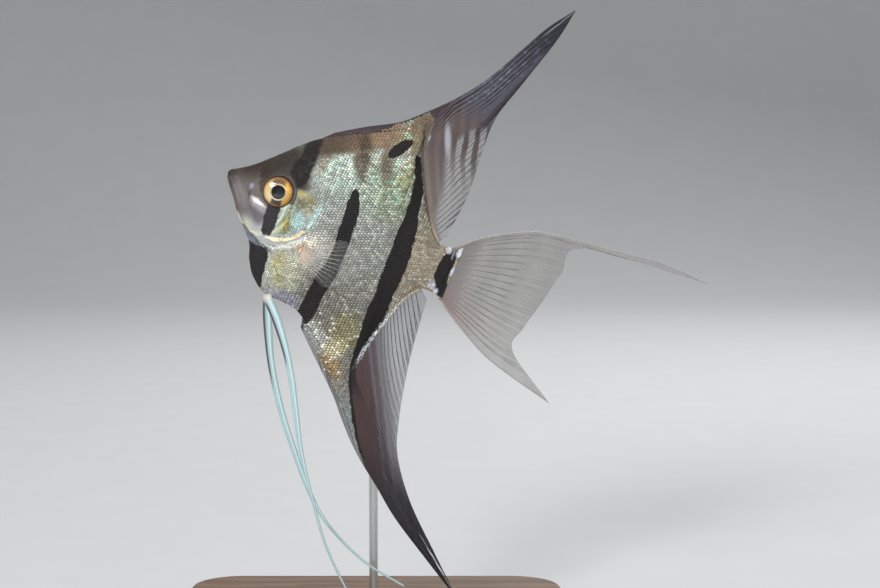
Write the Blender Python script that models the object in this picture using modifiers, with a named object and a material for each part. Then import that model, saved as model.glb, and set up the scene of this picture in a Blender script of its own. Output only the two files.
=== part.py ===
"""A freshwater angelfish as a life-size display model on a rod and a wooden base. Metres, +Z up.

The fish is drawn in its own frame in millimetres: x runs from the snout (0) to the end of the tail stalk, z
is up across the body, and y is 0 in its plane of symmetry, with its left side at -y. An empty then tips it
head-up and lifts it over the base. The body is one loft over ribs that run from the back to the belly, and thin
cuts part it into head, lower jaw, gill covers, trunk and tail stalk.
"""

import math

import bmesh
import bpy
from mathutils import Matrix, Vector

MM = 0.001
GAP = 0.3  # clearance between neighbouring solids, mm

# Pose of the fish over the stand
PITCH = math.radians(24.0)  # head up
SNOUT = Vector((-39.5, -3.5, 128.8))  # world place of the snout's tip, mm

# Body: (back x, z), (belly x, z), half-width, where along the rib it is widest, sharpness at back and belly.
# A sharpness of 0.5 is a round edge, and above 1 the edge is drawn out thin, as under a fin.
RIBS = {
    "lip_tip": ((0.2, 0.8), (0.6, -1.2), 0.7, 0.50, 0.50, 0.50),
    "lips": ((0.8, 1.6), (2.0, -3.0), 1.4, 0.50, 0.50, 0.50),
    "muzzle": ((2.6, 2.8), (4.6, -5.9), 2.0, 0.52, 0.55, 0.50),
    "snout": ((5.2, 4.7), (7.0, -9.0), 2.7, 0.52, 0.60, 0.55),
    "brow": ((8.5, 7.8), (10.3, -12.1), 3.5, 0.50, 0.65, 0.55),
    "eye": ((12.3, 11.9), (13.3, -15.4), 4.2, 0.48, 0.70, 0.55),
    "nape": ((16.2, 16.0), (15.0, -19.3), 4.8, 0.48, 0.75, 0.55),
    "gill": ((20.3, 19.6), (17.9, -23.2), 5.2, 0.50, 0.80, 0.55),
    "shoulder": ((24.9, 22.6), (22.4, -26.1), 5.4, 0.52, 0.85, 0.55),
    "chest_end": ((29.9, 25.4), (27.3, -26.3), 5.4, 0.52, 0.90, 0.60),
    "belly": ((35.2, 28.3), (31.4, -26.6), 5.2, 0.50, 0.95, 0.70),
    "vent": ((39.5, 31.1), (34.9, -28.2), 4.9, 0.48, 1.05, 0.90),
    "flank": ((42.3, 33.6), (42.6, -33.7), 4.6, 0.45, 1.20, 1.20),
    "corner": ((44.2, 35.4), (50.6, -41.0), 4.2, 0.42, 1.40, 1.50),
    "rear_high": ((45.6, 30.0), (52.9, -35.6), 3.8, 0.44, 1.25, 1.35),
    "rear_mid": ((48.4, 23.9), (54.0, -27.5), 3.4, 0.46, 1.10, 1.15),
    "rear_low": ((52.2, 16.9), (55.9, -18.9), 3.0, 0.48, 0.90, 0.95),
    "stalk": ((56.3, 10.6), (58.1, -11.6), 2.6, 0.50, 0.70, 0.70),
    "stalk_thin": ((60.4, 6.6), (61.2, -7.6), 2.1, 0.50, 0.60, 0.60),
    "stalk_end": ((64.9, 6.3), (66.2, -7.4), 1.0, 0.50, 0.55, 0.55),
}
STATIONS_PER_RIB = 2
RING_POINTS = 20  # round one station, even

# Cut lines of the head, seen from the side
HEAD_BACK = ((18.3, 26.0), (20.2, 16.0), (23.0, 7.5), (24.4, 0.0), (22.6, -6.6), (17.4, -11.6), (12.6, -13.6),
             (7.0, -17.0))
JAW_BACK = ((-2.5, 2.9), (0.25, 0.15), (2.5, -2.1), (5.1, -4.6), (7.0, -6.7), (9.8, -8.6), (12.6, -11.6),
            (12.2, -17.5))
GILL_COVER = ((20.0, 5.6), (22.2, 6.2), (25.0, 4.2), (27.2, 0.4), (27.2, -4.4), (24.4, -8.4), (20.5, -11.0),
              (16.6, -12.3), (18.4, -8.4), (20.2, -3.8), (20.7, 1.0))
GILL_COVER_DEPTH = 2.2  # thickness of a gill cover, inwards from the widest skin
STALK_FRONT = ((56.0, 22.0), (55.2, 5.0), (55.6, -6.0), (57.4, -22.0))

# Eyes
EYE_AT = (15.2, 1.2)
EYE_RADIUS = 4.6
EYE_HALF_DEPTH = 1.9
EYE_PROUD = 1.0  # how far the eye stands out of the cheek

# Median fins. Spines and rays are the ridges of a sheet: full thickness on a ray, thinner between two.
RAY_THICKNESS = 0.8
WEB_SHARE = 0.65  # web thickness over ray thickness
DORSAL_LEAD = ((22.4, 21.9), (29.3, 26.7), (37.5, 31.8), (42.1, 36.3), (46.1, 40.6), (49.4, 44.6),
               (54.7, 52.4), (59.7, 62.8), (64.1, 71.9), (69.0, 79.1))
DORSAL_TRAIL = ((69.0, 79.1), (67.6, 69.4), (63.8, 54.6), (61.0, 43.5), (61.4, 33.0), (62.6, 21.3),
                (62.0, 8.6))
DORSAL_MARKS = ((0, 0.0, 0.0), (12, 0.511, 0.22), (36, 1.0, 1.0))  # column, share of root, share of tips
DORSAL_BOW = -0.03  # how far the middle ray bends to the right of its run, as a share of its length
ANAL_LEAD = ((35.4, -30.6), (41.0, -35.5), (46.3, -40.0), (51.5, -44.6), (56.9, -50.2), (62.7, -55.6),
             (72.2, -62.4), (80.7, -68.5), (93.8, -75.8), (106.4, -82.6))
ANAL_TRAIL = ((106.4, -82.6), (94.6, -72.9), (82.4, -62.4), (74.0, -52.0), (70.4, -42.8), (67.8, -33.0),
              (65.8, -23.0), (64.0, -9.6))
ANAL_MARKS = ((0, 0.0, 0.0), (12, 0.30, 0.20), (36, 1.0, 1.0))
ANAL_BOW = 0.08
TAIL_TOP = ((65.4, 6.0), (70.6, 11.4), (77.5, 16.2), (85.0, 20.0), (95.0, 22.0), (106.0, 23.6), (119.0, 25.6),
            (133.3, 25.7))
TAIL_BOTTOM = ((66.6, -7.2), (72.4, -11.0), (78.3, -14.1), (84.9, -17.2), (91.9, -19.2), (106.6, -22.2))
TAIL_EDGE = ((133.3, 25.7), (97.5, 20.8), (94.7, 12.0), (93.0, 2.0), (91.4, -6.0), (91.3, -13.0),
             (106.6, -22.2))
TAIL_MARKS = ((0, 0.0, 0.0), (2, 0.04, 0.44), (22, 0.92, 0.83), (26, 1.0, 1.0))

# Paired fins
PECTORAL_ROOT = ((26.9, -10.2), (28.0, -13.4))
PECTORAL_TIPS = ((36.0, -3.4), (40.4, -3.4), (43.8, -5.6), (44.5, -8.8), (42.8, -12.5), (39.8, -15.6),
                 (36.6, -17.2))
PECTORAL_MARKS = ((0, 0.0, 0.0), (6, 0.5, 0.5), (12, 1.0, 1.0))
PECTORAL_FLARE = 3.4  # how far the tips stand off the flank
PELVIC_APART = 0.9  # each feeler's root is this far from the plane of symmetry
PELVIC_LEFT = ((28.8, -31.4), (34.4, -37.9), (38.9, -44.2), (43.0, -50.9), (49.0, -60.8), (55.3, -69.3),
               (66.0, -82.4), (78.9, -93.7))
PELVIC_RIGHT = ((26.4, -33.0), (32.0, -43.4), (39.2, -53.6), (46.4, -62.0), (55.4, -71.6), (64.4, -78.5),
                (77.5, -83.9), (91.1, -85.9))
PELVIC_WIDTHS = (2.6, 2.1, 1.9, 1.7, 1.3, 0.9, 0.7, 0.6)
PELVIC_THICKNESS = 0.6

# Stand
BASE_SIZE = (108.0, 88.0, 7.0)
BASE_CORNER = 14.0
BASE_EDGE = 1.2
ROD_RADIUS = 1.2
ROD_AT_Y = 5.0  # the rod rises behind the fish, on its right side
ROD_TOP = 107.5
ROD_BEND = 3.2
ROD_SEAT = 4.0  # how deep the rod stands in the base
SOCKET_DEPTH = 1.6  # how deep the rod goes into the flank

SKIN = {"colour": (0.42, 0.43, 0.38), "roughness": 0.35, "metallic": 0.35}
CHEEK = {"colour": (0.62, 0.60, 0.50), "roughness": 0.3, "metallic": 0.5}
FIN = {"colour": (0.20, 0.17, 0.18), "roughness": 0.45, "metallic": 0.0}
CLEAR_FIN = {"colour": (0.62, 0.62, 0.60), "roughness": 0.4, "metallic": 0.0}
FEELER = {"colour": (0.50, 0.70, 0.72), "roughness": 0.35, "metallic": 0.0}
EYE = {"colour": (0.80, 0.48, 0.08), "roughness": 0.08, "metallic": 0.2}
WOOD = {"colour": (0.11, 0.06, 0.035), "roughness": 0.4, "metallic": 0.0}
STEEL = {"colour": (0.60, 0.60, 0.60), "roughness": 0.25, "metallic": 1.0}


# ---------------------------------------------------------------- curves and places on the body

def spline(points, per_span=8):
    """A Catmull-Rom curve through rows of numbers, as a denser list of rows."""
    rows = [Vector(p) for p in points]
    rows = [2 * rows[0] - rows[1], *rows, 2 * rows[-1] - rows[-2]]
    found = []
    for a, b, c, d in zip(rows, rows[1:], rows[2:], rows[3:]):
        for k in range(per_span):
            t = k / per_span
            found.append(0.5 * (2 * b + (c - a) * t + (2 * a - 5 * b + 4 * c - d) * t * t
                                + (3 * b - a - 3 * c + d) * t * t * t))
    return [*found, rows[-2]]


def at_share(path, share):
    """The point at a share of a path's length, from 0 to 1."""
    steps = [(b - a).length for a, b in zip(path, path[1:])]
    left = share * sum(steps)
    for a, b, step in zip(path, path[1:], steps):
        if left <= step or b is path[-1]:
            return a.lerp(b, min(1.0, left / step) if step else 0.0)
        left -= step
    return path[-1]


def stations():
    """Every rib of the loft as (back, belly, half-width, widest, back sharpness, belly sharpness)."""
    rows = spline([(*d, *v, *rest) for d, v, *rest in RIBS.values()], STATIONS_PER_RIB)
    return [(Vector(r[0:2]), Vector(r[2:4]), *r[4:8]) for r in rows]


def half_width(station, share):
    """Half the body's width at a share of the way from back to belly."""
    _, _, width, widest, back_edge, belly_edge = station
    skewed = share ** (math.log(0.5) / math.log(widest))
    edge = back_edge + (belly_edge - back_edge) * share
    return width * max(0.0, 4 * skewed * (1 - skewed)) ** edge


def flank_width(x, z):
    """Half the body's width at a place seen from the side."""
    best = (1e9, 0.0)
    for station in stations():
        back, belly = station[0], station[1]
        rib = belly - back
        share = min(1.0, max(0.0, (Vector((x, z)) - back).dot(rib) / rib.length_squared))
        away = (back + share * rib - Vector((x, z))).length
        best = min(best, (away, half_width(station, share)))
    return best[1]


def outline(side, first, last, out=GAP + 0.25):
    """The body's edge between two named ribs, on side 0 the back or 1 the belly, moved outwards."""
    names = list(RIBS)
    rows = stations()[names.index(first) * STATIONS_PER_RIB:names.index(last) * STATIONS_PER_RIB + 1]
    edge = [row[side] for row in rows]
    found = []
    for k, point in enumerate(edge):
        along = (edge[min(k + 1, len(edge) - 1)] - edge[max(k - 1, 0)]).normalized()
        outward = Vector((-along.y, along.x)) if side == 0 else Vector((along.y, -along.x))
        found.append(point + out * outward)
    return found


# ---------------------------------------------------------------- objects

def collection(name):
    made = bpy.data.collections.new(name)
    bpy.context.scene.collection.children.link(made)
    return made


def material(name, look):
    made = bpy.data.materials.new(name)
    made.use_nodes = True
    shader = made.node_tree.nodes["Principled BSDF"]
    shader.inputs["Base Color"].default_value = (*look["colour"], 1.0)
    shader.inputs["Roughness"].default_value = look["roughness"]
    shader.inputs["Metallic"].default_value = look["metallic"]
    return made


def add(name, mesh, group, look=None, parent=None):
    """A named object with its mesh, smooth where it is round, in a collection."""
    made = bpy.data.objects.new(name, mesh)
    group.objects.link(made)
    made.parent = parent
    if look:
        mesh.materials.append(material(name, look))
        mesh.shade_smooth()
        mesh.set_sharp_from_angle(angle=math.radians(35))
    else:
        made.hide_render = True
        made.display_type = "WIRE"
    return made


def mesh_from(bm, name):
    bmesh.ops.recalc_face_normals(bm, faces=bm.faces)
    mesh = bpy.data.meshes.new(name)
    bm.to_mesh(mesh)
    bm.free()
    mesh.transform(Matrix.Scale(MM, 4))
    return mesh


def boolean(piece, cutter, operation):
    step = piece.modifiers.new(f"{operation.lower()}_{cutter.name}", "BOOLEAN")
    step.object = cutter
    step.operation = operation
    step.solver = "EXACT"


def body_mesh(name):
    """The whole body from lips to tail stalk, as one closed loft over the stations."""
    bm = bmesh.new()
    rings = []
    for station in stations():
        back, belly = station[0], station[1]
        ring = []
        for k in range(RING_POINTS):
            turn = 2 * math.pi * k / RING_POINTS
            share = (1 - math.cos(turn)) / 2
            side = 1 if k < RING_POINTS / 2 else -1
            place = back.lerp(belly, share)
            ring.append(bm.verts.new((place.x, side * half_width(station, share), place.y)))
        rings.append(ring)
    for ring, following in zip(rings, rings[1:]):
        for k in range(RING_POINTS):
            after = (k + 1) % RING_POINTS
            bm.faces.new((ring[k], ring[after], following[after], following[k]))
    bm.faces.new(rings[0])
    bm.faces.new(rings[-1])
    bmesh.ops.triangulate(bm, faces=bm.faces)
    return mesh_from(bm, name)


def grown(path, distance):
    """A closed outline with each of its edges moved outwards."""
    turning = sum(a.x * b.y - b.x * a.y for a, b in zip(path, [*path[1:], path[0]]))
    found = []
    for k, point in enumerate(path):
        before = (point - path[k - 1]).normalized()
        after = (path[(k + 1) % len(path)] - point).normalized()
        mitre = (before + after) / (1 + before.dot(after)) * math.copysign(distance, turning)
        found.append(point + Vector((mitre.y, -mitre.x)))
    return found


def prism(name, path, y_from, y_to, group, parent, grow=0.0):
    """A cutter: a closed outline seen from the side, grown outwards, between two depths."""
    bm = bmesh.new()
    front = bm.faces.new([bm.verts.new((place.x, y_from, place.y)) for place in grown(path, grow)])
    made = bmesh.ops.extrude_face_region(bm, geom=[front])
    moved = [v for v in made["geom"] if isinstance(v, bmesh.types.BMVert)]
    bmesh.ops.translate(bm, verts=moved, vec=(0, y_to - y_from, 0))
    return add(name, mesh_from(bm, name), group, parent=parent)


def sheet(name, columns, thickness, look, group, parent):
    """A fin: columns of points from root to tip, made solid. Even columns are rays, odd ones web."""
    bm = bmesh.new()
    grid = [[bm.verts.new(p) for p in column] for column in columns]
    for left, right in zip(grid, grid[1:]):
        for row in range(len(left) - 1):
            bm.faces.new((left[row], left[row + 1], right[row + 1], right[row]))
    made = add(name, mesh_from(bm, name), group, look, parent)
    rays = made.vertex_groups.new(name="rays")
    rows = len(columns[0])
    for k in range(len(columns)):
        weight = 1.0 if k % 2 == 0 else WEB_SHARE
        rays.add(list(range(k * rows, (k + 1) * rows)), weight, "REPLACE")
    shell = made.modifiers.new("thickness", "SOLIDIFY")
    shell.thickness = thickness * MM
    shell.offset = 0.0
    shell.vertex_group = "rays"
    shell.use_even_offset = False
    return made


def between(marks, column):
    """The two shares that a column has, from the marks on either side of it."""
    for (c0, *low), (c1, *high) in zip(marks, marks[1:]):
        if column <= c1:
            on = (column - c0) / (c1 - c0)
            return [a + (b - a) * on for a, b in zip(low, high)]
    return marks[-1][1:]


def fan(root, tips, rows, marks, guides=(), bow=0.0, sway=0.0):
    """The columns of a fin, each a row of points from the fin's root to its tips.

    marks are (column, share of root, share of tips), with even steps between them. guides are (curve, first,
    last): the first of these columns takes on the curve's shape, and those up to the last less and less. bow
    bends the columns past the second mark to the right of their run, and sway carries the tips to the fish's
    right, both as shares of a column's length."""
    last = marks[-1][0]
    columns = []
    for k in range(last + 1):
        u, w = between(marks, k)
        past = max(0.0, (k - marks[1][0]) / (last - marks[1][0]))
        base, tip = at_share(root, u), at_share(tips, w)
        ray = tip - base
        column = []
        for row in range(rows):
            v = row / (rows - 1)
            bend = bow * 16 * past * (1 - past) * v * (1 - v)
            place = base + v * ray + bend * Vector((ray.y, -ray.x))
            for curve, first, final in guides:
                away = (k - first) / (final - first)
                if 0 <= away <= 1:
                    reach = min(1.0, ray.length / (curve[-1] - curve[0]).length)
                    chord = curve[0].lerp(at_share(curve, reach), v)
                    place += (1 - away ** 2) * (at_share(curve, reach * v) - chord)
            column.append((place.x, sway * v * v * ray.length, place.y))
        columns.append(column)
    return columns


# ---------------------------------------------------------------- the body's pieces

def head_cutters(cutters, pose):
    """The outlines that part the body, each also a gap larger for the pieces round it."""
    behind = spline(HEAD_BACK, 3)
    head = [*behind, Vector((-6.0, -17.0)), Vector((-6.0, 26.0))]
    jaw = [*spline(JAW_BACK, 3), Vector((-2.5, -17.5))]
    cover = spline([*GILL_COVER, GILL_COVER[0]], 2)[:-1]
    made = {}
    for name, path in (("head", head), ("jaw", jaw)):
        made[name] = prism(f"cut_{name}", path, -9, 9, cutters, pose)
        made[f"{name}_wide"] = prism(f"cut_{name}_wide", path, -10, 10, cutters, pose, GAP)
    inner = max(station[2] for station in stations()) - GILL_COVER_DEPTH
    for name, side in (("left", -1), ("right", 1)):
        depths = (side * inner, side * 9), (side * (inner - GAP), side * 10)
        made[f"cover_{name}"] = prism(f"cut_cover_{name}", cover, *depths[0], cutters, pose)
        made[f"cover_{name}_wide"] = prism(f"cut_cover_{name}_wide", cover, *depths[1], cutters, pose, GAP)
    return made


def eye_mesh(name, grow=0.0):
    bm = bmesh.new()
    bmesh.ops.create_uvsphere(bm, u_segments=20, v_segments=10, radius=1.0)
    bmesh.ops.scale(bm, verts=bm.verts, vec=(EYE_RADIUS + grow, EYE_RADIUS + grow, EYE_HALF_DEPTH + grow))
    bmesh.ops.rotate(bm, verts=bm.verts, matrix=Matrix.Rotation(math.pi / 2, 3, "X"))
    return mesh_from(bm, name)


def eyes(parts, cutters, pose):
    """Both eyes, and the sockets that the head is cut by."""
    depth = flank_width(*EYE_AT) + EYE_PROUD - EYE_HALF_DEPTH
    sockets = []
    for name, side in (("left", -1), ("right", 1)):
        place = Vector((EYE_AT[0], side * depth, EYE_AT[1])) * MM
        eye = add(f"eye_{name}", eye_mesh(f"eye_{name}"), parts, EYE, pose)
        socket = add(f"cut_socket_{name}", eye_mesh(f"cut_socket_{name}", GAP), cutters, parent=pose)
        eye.location = place
        socket.location = place
        sockets.append(socket)
    return sockets


def body(parts, cutters, pose, rod_socket):
    """Head, lower jaw, gill covers, trunk and tail stalk, cut from the same loft."""
    cut = head_cutters(cutters, pose)
    front = spline(STALK_FRONT, 3)
    stalk = [*front, Vector((72.0, -22.0)), Vector((72.0, 22.0))]
    cut["stalk"] = prism("cut_stalk", stalk, -9, 9, cutters, pose)
    cut["stalk_wide"] = prism("cut_stalk_wide", stalk, -10, 10, cutters, pose, GAP)
    covers = [cut["cover_left_wide"], cut["cover_right_wide"]]
    recipe = {
        "head": (cut["head"], [cut["jaw_wide"], *covers, *eyes(parts, cutters, pose)], SKIN),
        "lower_jaw": (cut["jaw"], [], CHEEK),
        "gill_cover_left": (cut["cover_left"], [], CHEEK),
        "gill_cover_right": (cut["cover_right"], [], CHEEK),
        "trunk": (None, [cut["head_wide"], cut["jaw_wide"], *covers, cut["stalk_wide"], rod_socket], SKIN),
        "tail_stalk": (cut["stalk"], [], SKIN),
    }
    for name, (inside, outside, look) in recipe.items():
        piece = add(name, body_mesh(name), parts, look, pose)
        if inside:
            boolean(piece, inside, "INTERSECT")
        for cutter in outside:
            boolean(piece, cutter, "DIFFERENCE")


# ---------------------------------------------------------------- fins

def median_fins(parts, pose):
    """Dorsal, anal and tail fin, on the plane of symmetry with their tips a little to one side."""
    root = outline(0, "gill", "stalk_thin")
    tips = spline(DORSAL_LEAD) + spline(DORSAL_TRAIL)[1:]
    columns = fan(root, tips, 7, DORSAL_MARKS, bow=DORSAL_BOW, sway=0.03)
    sheet("dorsal_fin", columns, RAY_THICKNESS, FIN, parts, pose)

    root = outline(1, "vent", "stalk_thin")
    tips = spline(ANAL_LEAD) + spline(ANAL_TRAIL)[1:]
    columns = fan(root, tips, 8, ANAL_MARKS, bow=ANAL_BOW, sway=-0.03)
    sheet("anal_fin", columns, RAY_THICKNESS, FIN, parts, pose)

    top, bottom = spline(TAIL_TOP), spline(TAIL_BOTTOM)
    guides = [(top, 0, TAIL_MARKS[-1][0] / 2), (bottom, TAIL_MARKS[-1][0], TAIL_MARKS[-1][0] / 2)]
    columns = fan([top[0], bottom[0]], spline(TAIL_EDGE), 8, TAIL_MARKS, guides, sway=0.02)
    sheet("tail_fin", columns, RAY_THICKNESS, CLEAR_FIN, parts, pose)


def pectoral_fins(parts, pose):
    """Clear fans that start on the flank behind each gill cover and stand a little off it."""
    root = [Vector(p) for p in PECTORAL_ROOT]
    tips = spline(PECTORAL_TIPS)
    for name, side in (("left", -1), ("right", 1)):
        columns = fan(root, tips, 6, PECTORAL_MARKS)
        for column in columns:
            clear = flank_width(column[0][0], column[0][2]) + GAP + RAY_THICKNESS / 2
            for row, (x, _, z) in enumerate(column):
                v = row / (len(column) - 1)
                column[row] = (x, side * (clear + PECTORAL_FLARE * math.sin(v * math.pi / 2)), z)
        sheet(f"pectoral_fin_{name}", columns, RAY_THICKNESS, CLEAR_FIN, parts, pose)


def pelvic_fins(parts, pose):
    """Two long feelers that leave the chest and sweep down and back, each flat and narrowing to its tip."""
    root = outline(1, "shoulder", "chest_end")
    for name, side, route, spread in (("left", -1, PELVIC_LEFT, 4.0), ("right", 1, PELVIC_RIGHT, 3.0)):
        start = (root[0] + root[1]) / 2
        path = spline([start, *route], 3)
        widths = spline([(w, 0.0) for w in (PELVIC_WIDTHS[0], *PELVIC_WIDTHS)], 3)
        front, middle, rear = [], [], []
        for k, point in enumerate(path):
            along = (path[min(k + 1, len(path) - 1)] - path[max(k - 1, 0)]).normalized()
            across = Vector((along.y, -along.x)) * widths[k].x / 2
            share = k / (len(path) - 1)
            y = side * (PELVIC_APART + spread * math.sin(share * math.pi * 0.6))
            edges = (root[0], start, root[1]) if k == 0 else (point + across, point, point - across)
            for edge, place in zip((front, middle, rear), edges):
                edge.append((place.x, y, place.y))
        sheet(f"pelvic_fin_{name}", [front, middle, rear], PELVIC_THICKNESS, FEELER, parts, pose)


# ---------------------------------------------------------------- stand

def cylinder(name, radius, low, high, group, look=None, lying=False):
    """A round bar along Z, or along Y when lying, between two points."""
    bm = bmesh.new()
    length = (high - low).length
    bmesh.ops.create_cone(bm, cap_ends=True, segments=24, radius1=radius, radius2=radius, depth=length)
    if lying:
        bmesh.ops.rotate(bm, verts=bm.verts, matrix=Matrix.Rotation(math.pi / 2, 3, "X"))
    made = add(name, mesh_from(bm, name), group, look)
    made.location = (low + high) / 2 * MM
    return made


def rod_socket(cutters):
    """The blind hole in the right flank that takes the end of the rod."""
    entry = entry_depth()
    return cylinder("cut_rod_socket", ROD_RADIUS + GAP, Vector((0, entry - SOCKET_DEPTH - GAP, ROD_TOP)),
                    Vector((0, ROD_AT_Y + 6, ROD_TOP)), cutters, lying=True)


def entry_depth():
    """World y of the right flank where the rod meets it, mm."""
    away = Vector((0 - SNOUT.x, 0, ROD_TOP - SNOUT.z))
    inside = Matrix.Rotation(PITCH, 3, "Y").transposed() @ away
    return SNOUT.y + flank_width(inside.x, inside.z)


def stand(parts, cutters):
    """A wooden plate, and a steel rod that rises from it and bends forwards into the fish's right flank."""
    bm = bmesh.new()
    bmesh.ops.create_cube(bm, size=1.0)
    bmesh.ops.scale(bm, verts=bm.verts, vec=BASE_SIZE)
    bmesh.ops.translate(bm, verts=bm.verts, vec=(0, 0, BASE_SIZE[2] / 2))
    upright = [e for e in bm.edges if abs(e.verts[0].co.z - e.verts[1].co.z) > 1]
    bmesh.ops.bevel(bm, geom=upright, offset=BASE_CORNER, segments=8, profile=0.5, affect="EDGES")
    rim = [e for e in bm.edges if min(v.co.z for v in e.verts) > BASE_SIZE[2] - 0.01]
    bmesh.ops.bevel(bm, geom=rim, offset=BASE_EDGE, segments=3, profile=0.5, affect="EDGES")
    base = add("stand_base", mesh_from(bm, "stand_base"), parts, WOOD)
    seat_low = Vector((0, ROD_AT_Y, BASE_SIZE[2] - ROD_SEAT - GAP))
    seat_high = Vector((0, ROD_AT_Y, BASE_SIZE[2] + 4))
    seat = cylinder("cut_rod_seat", ROD_RADIUS + GAP, seat_low, seat_high, cutters)
    boolean(base, seat, "DIFFERENCE")

    line = bpy.data.curves.new("stand_rod", "CURVE")
    line.dimensions = "3D"
    line.bevel_depth = ROD_RADIUS * MM
    line.bevel_resolution = 3
    line.use_fill_caps = True
    places = [Vector((0, ROD_AT_Y, BASE_SIZE[2] - ROD_SEAT))]
    centre = Vector((0, ROD_AT_Y - ROD_BEND, ROD_TOP - ROD_BEND))
    for k in range(7):
        turn = math.pi / 2 * k / 6
        places.append(centre + ROD_BEND * Vector((0, math.cos(turn), math.sin(turn))))
    places.append(Vector((0, entry_depth() - SOCKET_DEPTH, ROD_TOP)))
    thread = line.splines.new("POLY")
    thread.points.add(len(places) - 1)
    for point, place in zip(thread.points, places):
        point.co = (*(place * MM), 1.0)
    line.materials.append(material("stand_rod", STEEL))
    rod = bpy.data.objects.new("stand_rod", line)
    parts.objects.link(rod)


def main():
    for old in list(bpy.data.objects):
        bpy.data.objects.remove(old)
    parts, cutters = collection("angelfish"), collection("cutters")
    pose = bpy.data.objects.new("fish_pose", None)
    parts.objects.link(pose)
    pose.location = SNOUT * MM
    pose.rotation_euler = (0, PITCH, 0)
    body(parts, cutters, pose, rod_socket(cutters))
    median_fins(parts, pose)
    pectoral_fins(parts, pose)
    pelvic_fins(parts, pose)
    stand(parts, cutters)


main()
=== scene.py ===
"""The looks of the angelfish display model: skin, scales, eyes, fins and stand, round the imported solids.

Everything on the fish is drawn in its own frame in millimetres, as in the solids: x from the snout to the
tail, z up across the body, y 0 in its plane of symmetry and negative on its left side. The eyes' solids give
that frame its place. One set of markings, worked out from those coordinates, colours skin, scales and fins.
"""

import math
from types import SimpleNamespace

import bpy
import numpy as np
from mathutils import Matrix, Vector
from mathutils.bvhtree import BVHTree

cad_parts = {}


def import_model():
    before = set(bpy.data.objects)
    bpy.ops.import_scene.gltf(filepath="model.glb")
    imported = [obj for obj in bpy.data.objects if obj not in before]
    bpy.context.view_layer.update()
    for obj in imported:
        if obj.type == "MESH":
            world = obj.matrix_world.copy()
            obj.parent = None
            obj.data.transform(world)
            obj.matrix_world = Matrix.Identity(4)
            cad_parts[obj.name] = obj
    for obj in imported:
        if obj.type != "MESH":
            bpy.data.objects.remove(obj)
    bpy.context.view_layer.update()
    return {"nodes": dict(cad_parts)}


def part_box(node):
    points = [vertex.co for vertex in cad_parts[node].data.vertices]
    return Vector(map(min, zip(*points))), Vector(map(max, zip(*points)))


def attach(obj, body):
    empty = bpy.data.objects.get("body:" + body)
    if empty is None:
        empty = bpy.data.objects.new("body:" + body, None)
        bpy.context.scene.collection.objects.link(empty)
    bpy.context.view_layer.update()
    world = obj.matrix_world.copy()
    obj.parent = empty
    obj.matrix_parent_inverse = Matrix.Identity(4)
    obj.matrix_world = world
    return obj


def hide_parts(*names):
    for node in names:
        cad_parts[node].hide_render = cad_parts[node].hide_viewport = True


MM = 0.001
SIDES = (("left", -1), ("right", 1))

# Pose: the fish's frame against the world
PITCH = math.radians(24.0)
EYE_AT = Vector((15.2, 1.2))

# Body: (back x, z), (belly x, z), half-width, where along the rib it is widest, sharpness at back and belly
RIBS = (
    ((0.2, 0.8), (0.6, -1.2), 0.7, 0.50, 0.50, 0.50),
    ((0.8, 1.6), (2.0, -3.0), 1.4, 0.50, 0.50, 0.50),
    ((2.6, 2.8), (4.6, -5.9), 2.0, 0.52, 0.55, 0.50),
    ((5.2, 4.7), (7.0, -9.0), 2.7, 0.52, 0.60, 0.55),
    ((8.5, 7.8), (10.3, -12.1), 3.5, 0.50, 0.65, 0.55),
    ((12.3, 11.9), (13.3, -15.4), 4.2, 0.48, 0.70, 0.55),
    ((16.2, 16.0), (15.0, -19.3), 4.8, 0.48, 0.75, 0.55),
    ((20.3, 19.6), (17.9, -23.2), 5.2, 0.50, 0.80, 0.55),
    ((24.9, 22.6), (22.4, -26.1), 5.4, 0.52, 0.85, 0.55),
    ((29.9, 25.4), (27.3, -26.3), 5.4, 0.52, 0.90, 0.60),
    ((35.2, 28.3), (31.4, -26.6), 5.2, 0.50, 0.95, 0.70),
    ((39.5, 31.1), (34.9, -28.2), 4.9, 0.48, 1.05, 0.90),
    ((42.3, 33.6), (42.6, -33.7), 4.6, 0.45, 1.20, 1.20),
    ((44.2, 35.4), (50.6, -41.0), 4.2, 0.42, 1.40, 1.50),
    ((45.6, 30.0), (52.9, -35.6), 3.8, 0.44, 1.25, 1.35),
    ((48.4, 23.9), (54.0, -27.5), 3.4, 0.46, 1.10, 1.15),
    ((52.2, 16.9), (55.9, -18.9), 3.0, 0.48, 0.90, 0.95),
    ((56.3, 10.6), (58.1, -11.6), 2.6, 0.50, 0.70, 0.70),
    ((60.4, 6.6), (61.2, -7.6), 2.1, 0.50, 0.60, 0.60),
    ((64.9, 6.3), (66.2, -7.4), 1.0, 0.50, 0.55, 0.55),
)
STATIONS_PER_RIB = 18
SHARES = 110  # steps from back to belly on each side
SCALE_DEPTH = 0.15  # how deep the skin lies inside the solids, for the scales

# Relief of the head, as curves seen from the side
GAPE = ((0.3, 0.1), (1.6, -1.3), (3.0, -3.0), (5.0, -5.4), (6.9, -7.9), (8.2, -9.6))
MAXILLA = ((1.2, 0.6), (3.0, -0.9), (5.4, -3.9), (7.9, -7.4), (9.2, -9.9))
JAW_HINGE = ((8.2, -9.6), (10.2, -10.9), (12.8, -12.2))
PREOPERCLE = ((20.9, 1.0), (21.0, -2.4), (20.3, -6.0), (18.3, -9.6), (15.8, -11.2), (13.2, -11.6))
GILL_EDGE = ((21.6, 6.2), (24.6, 5.2), (26.9, 2.0), (27.5, -2.2), (26.2, -6.0), (23.6, -9.3), (20.0, -11.4),
             (16.2, -12.4), (12.8, -12.8))
THROAT = ((10.6, -12.3), (13.4, -13.6), (17.6, -13.4), (21.6, -11.9))
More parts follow.
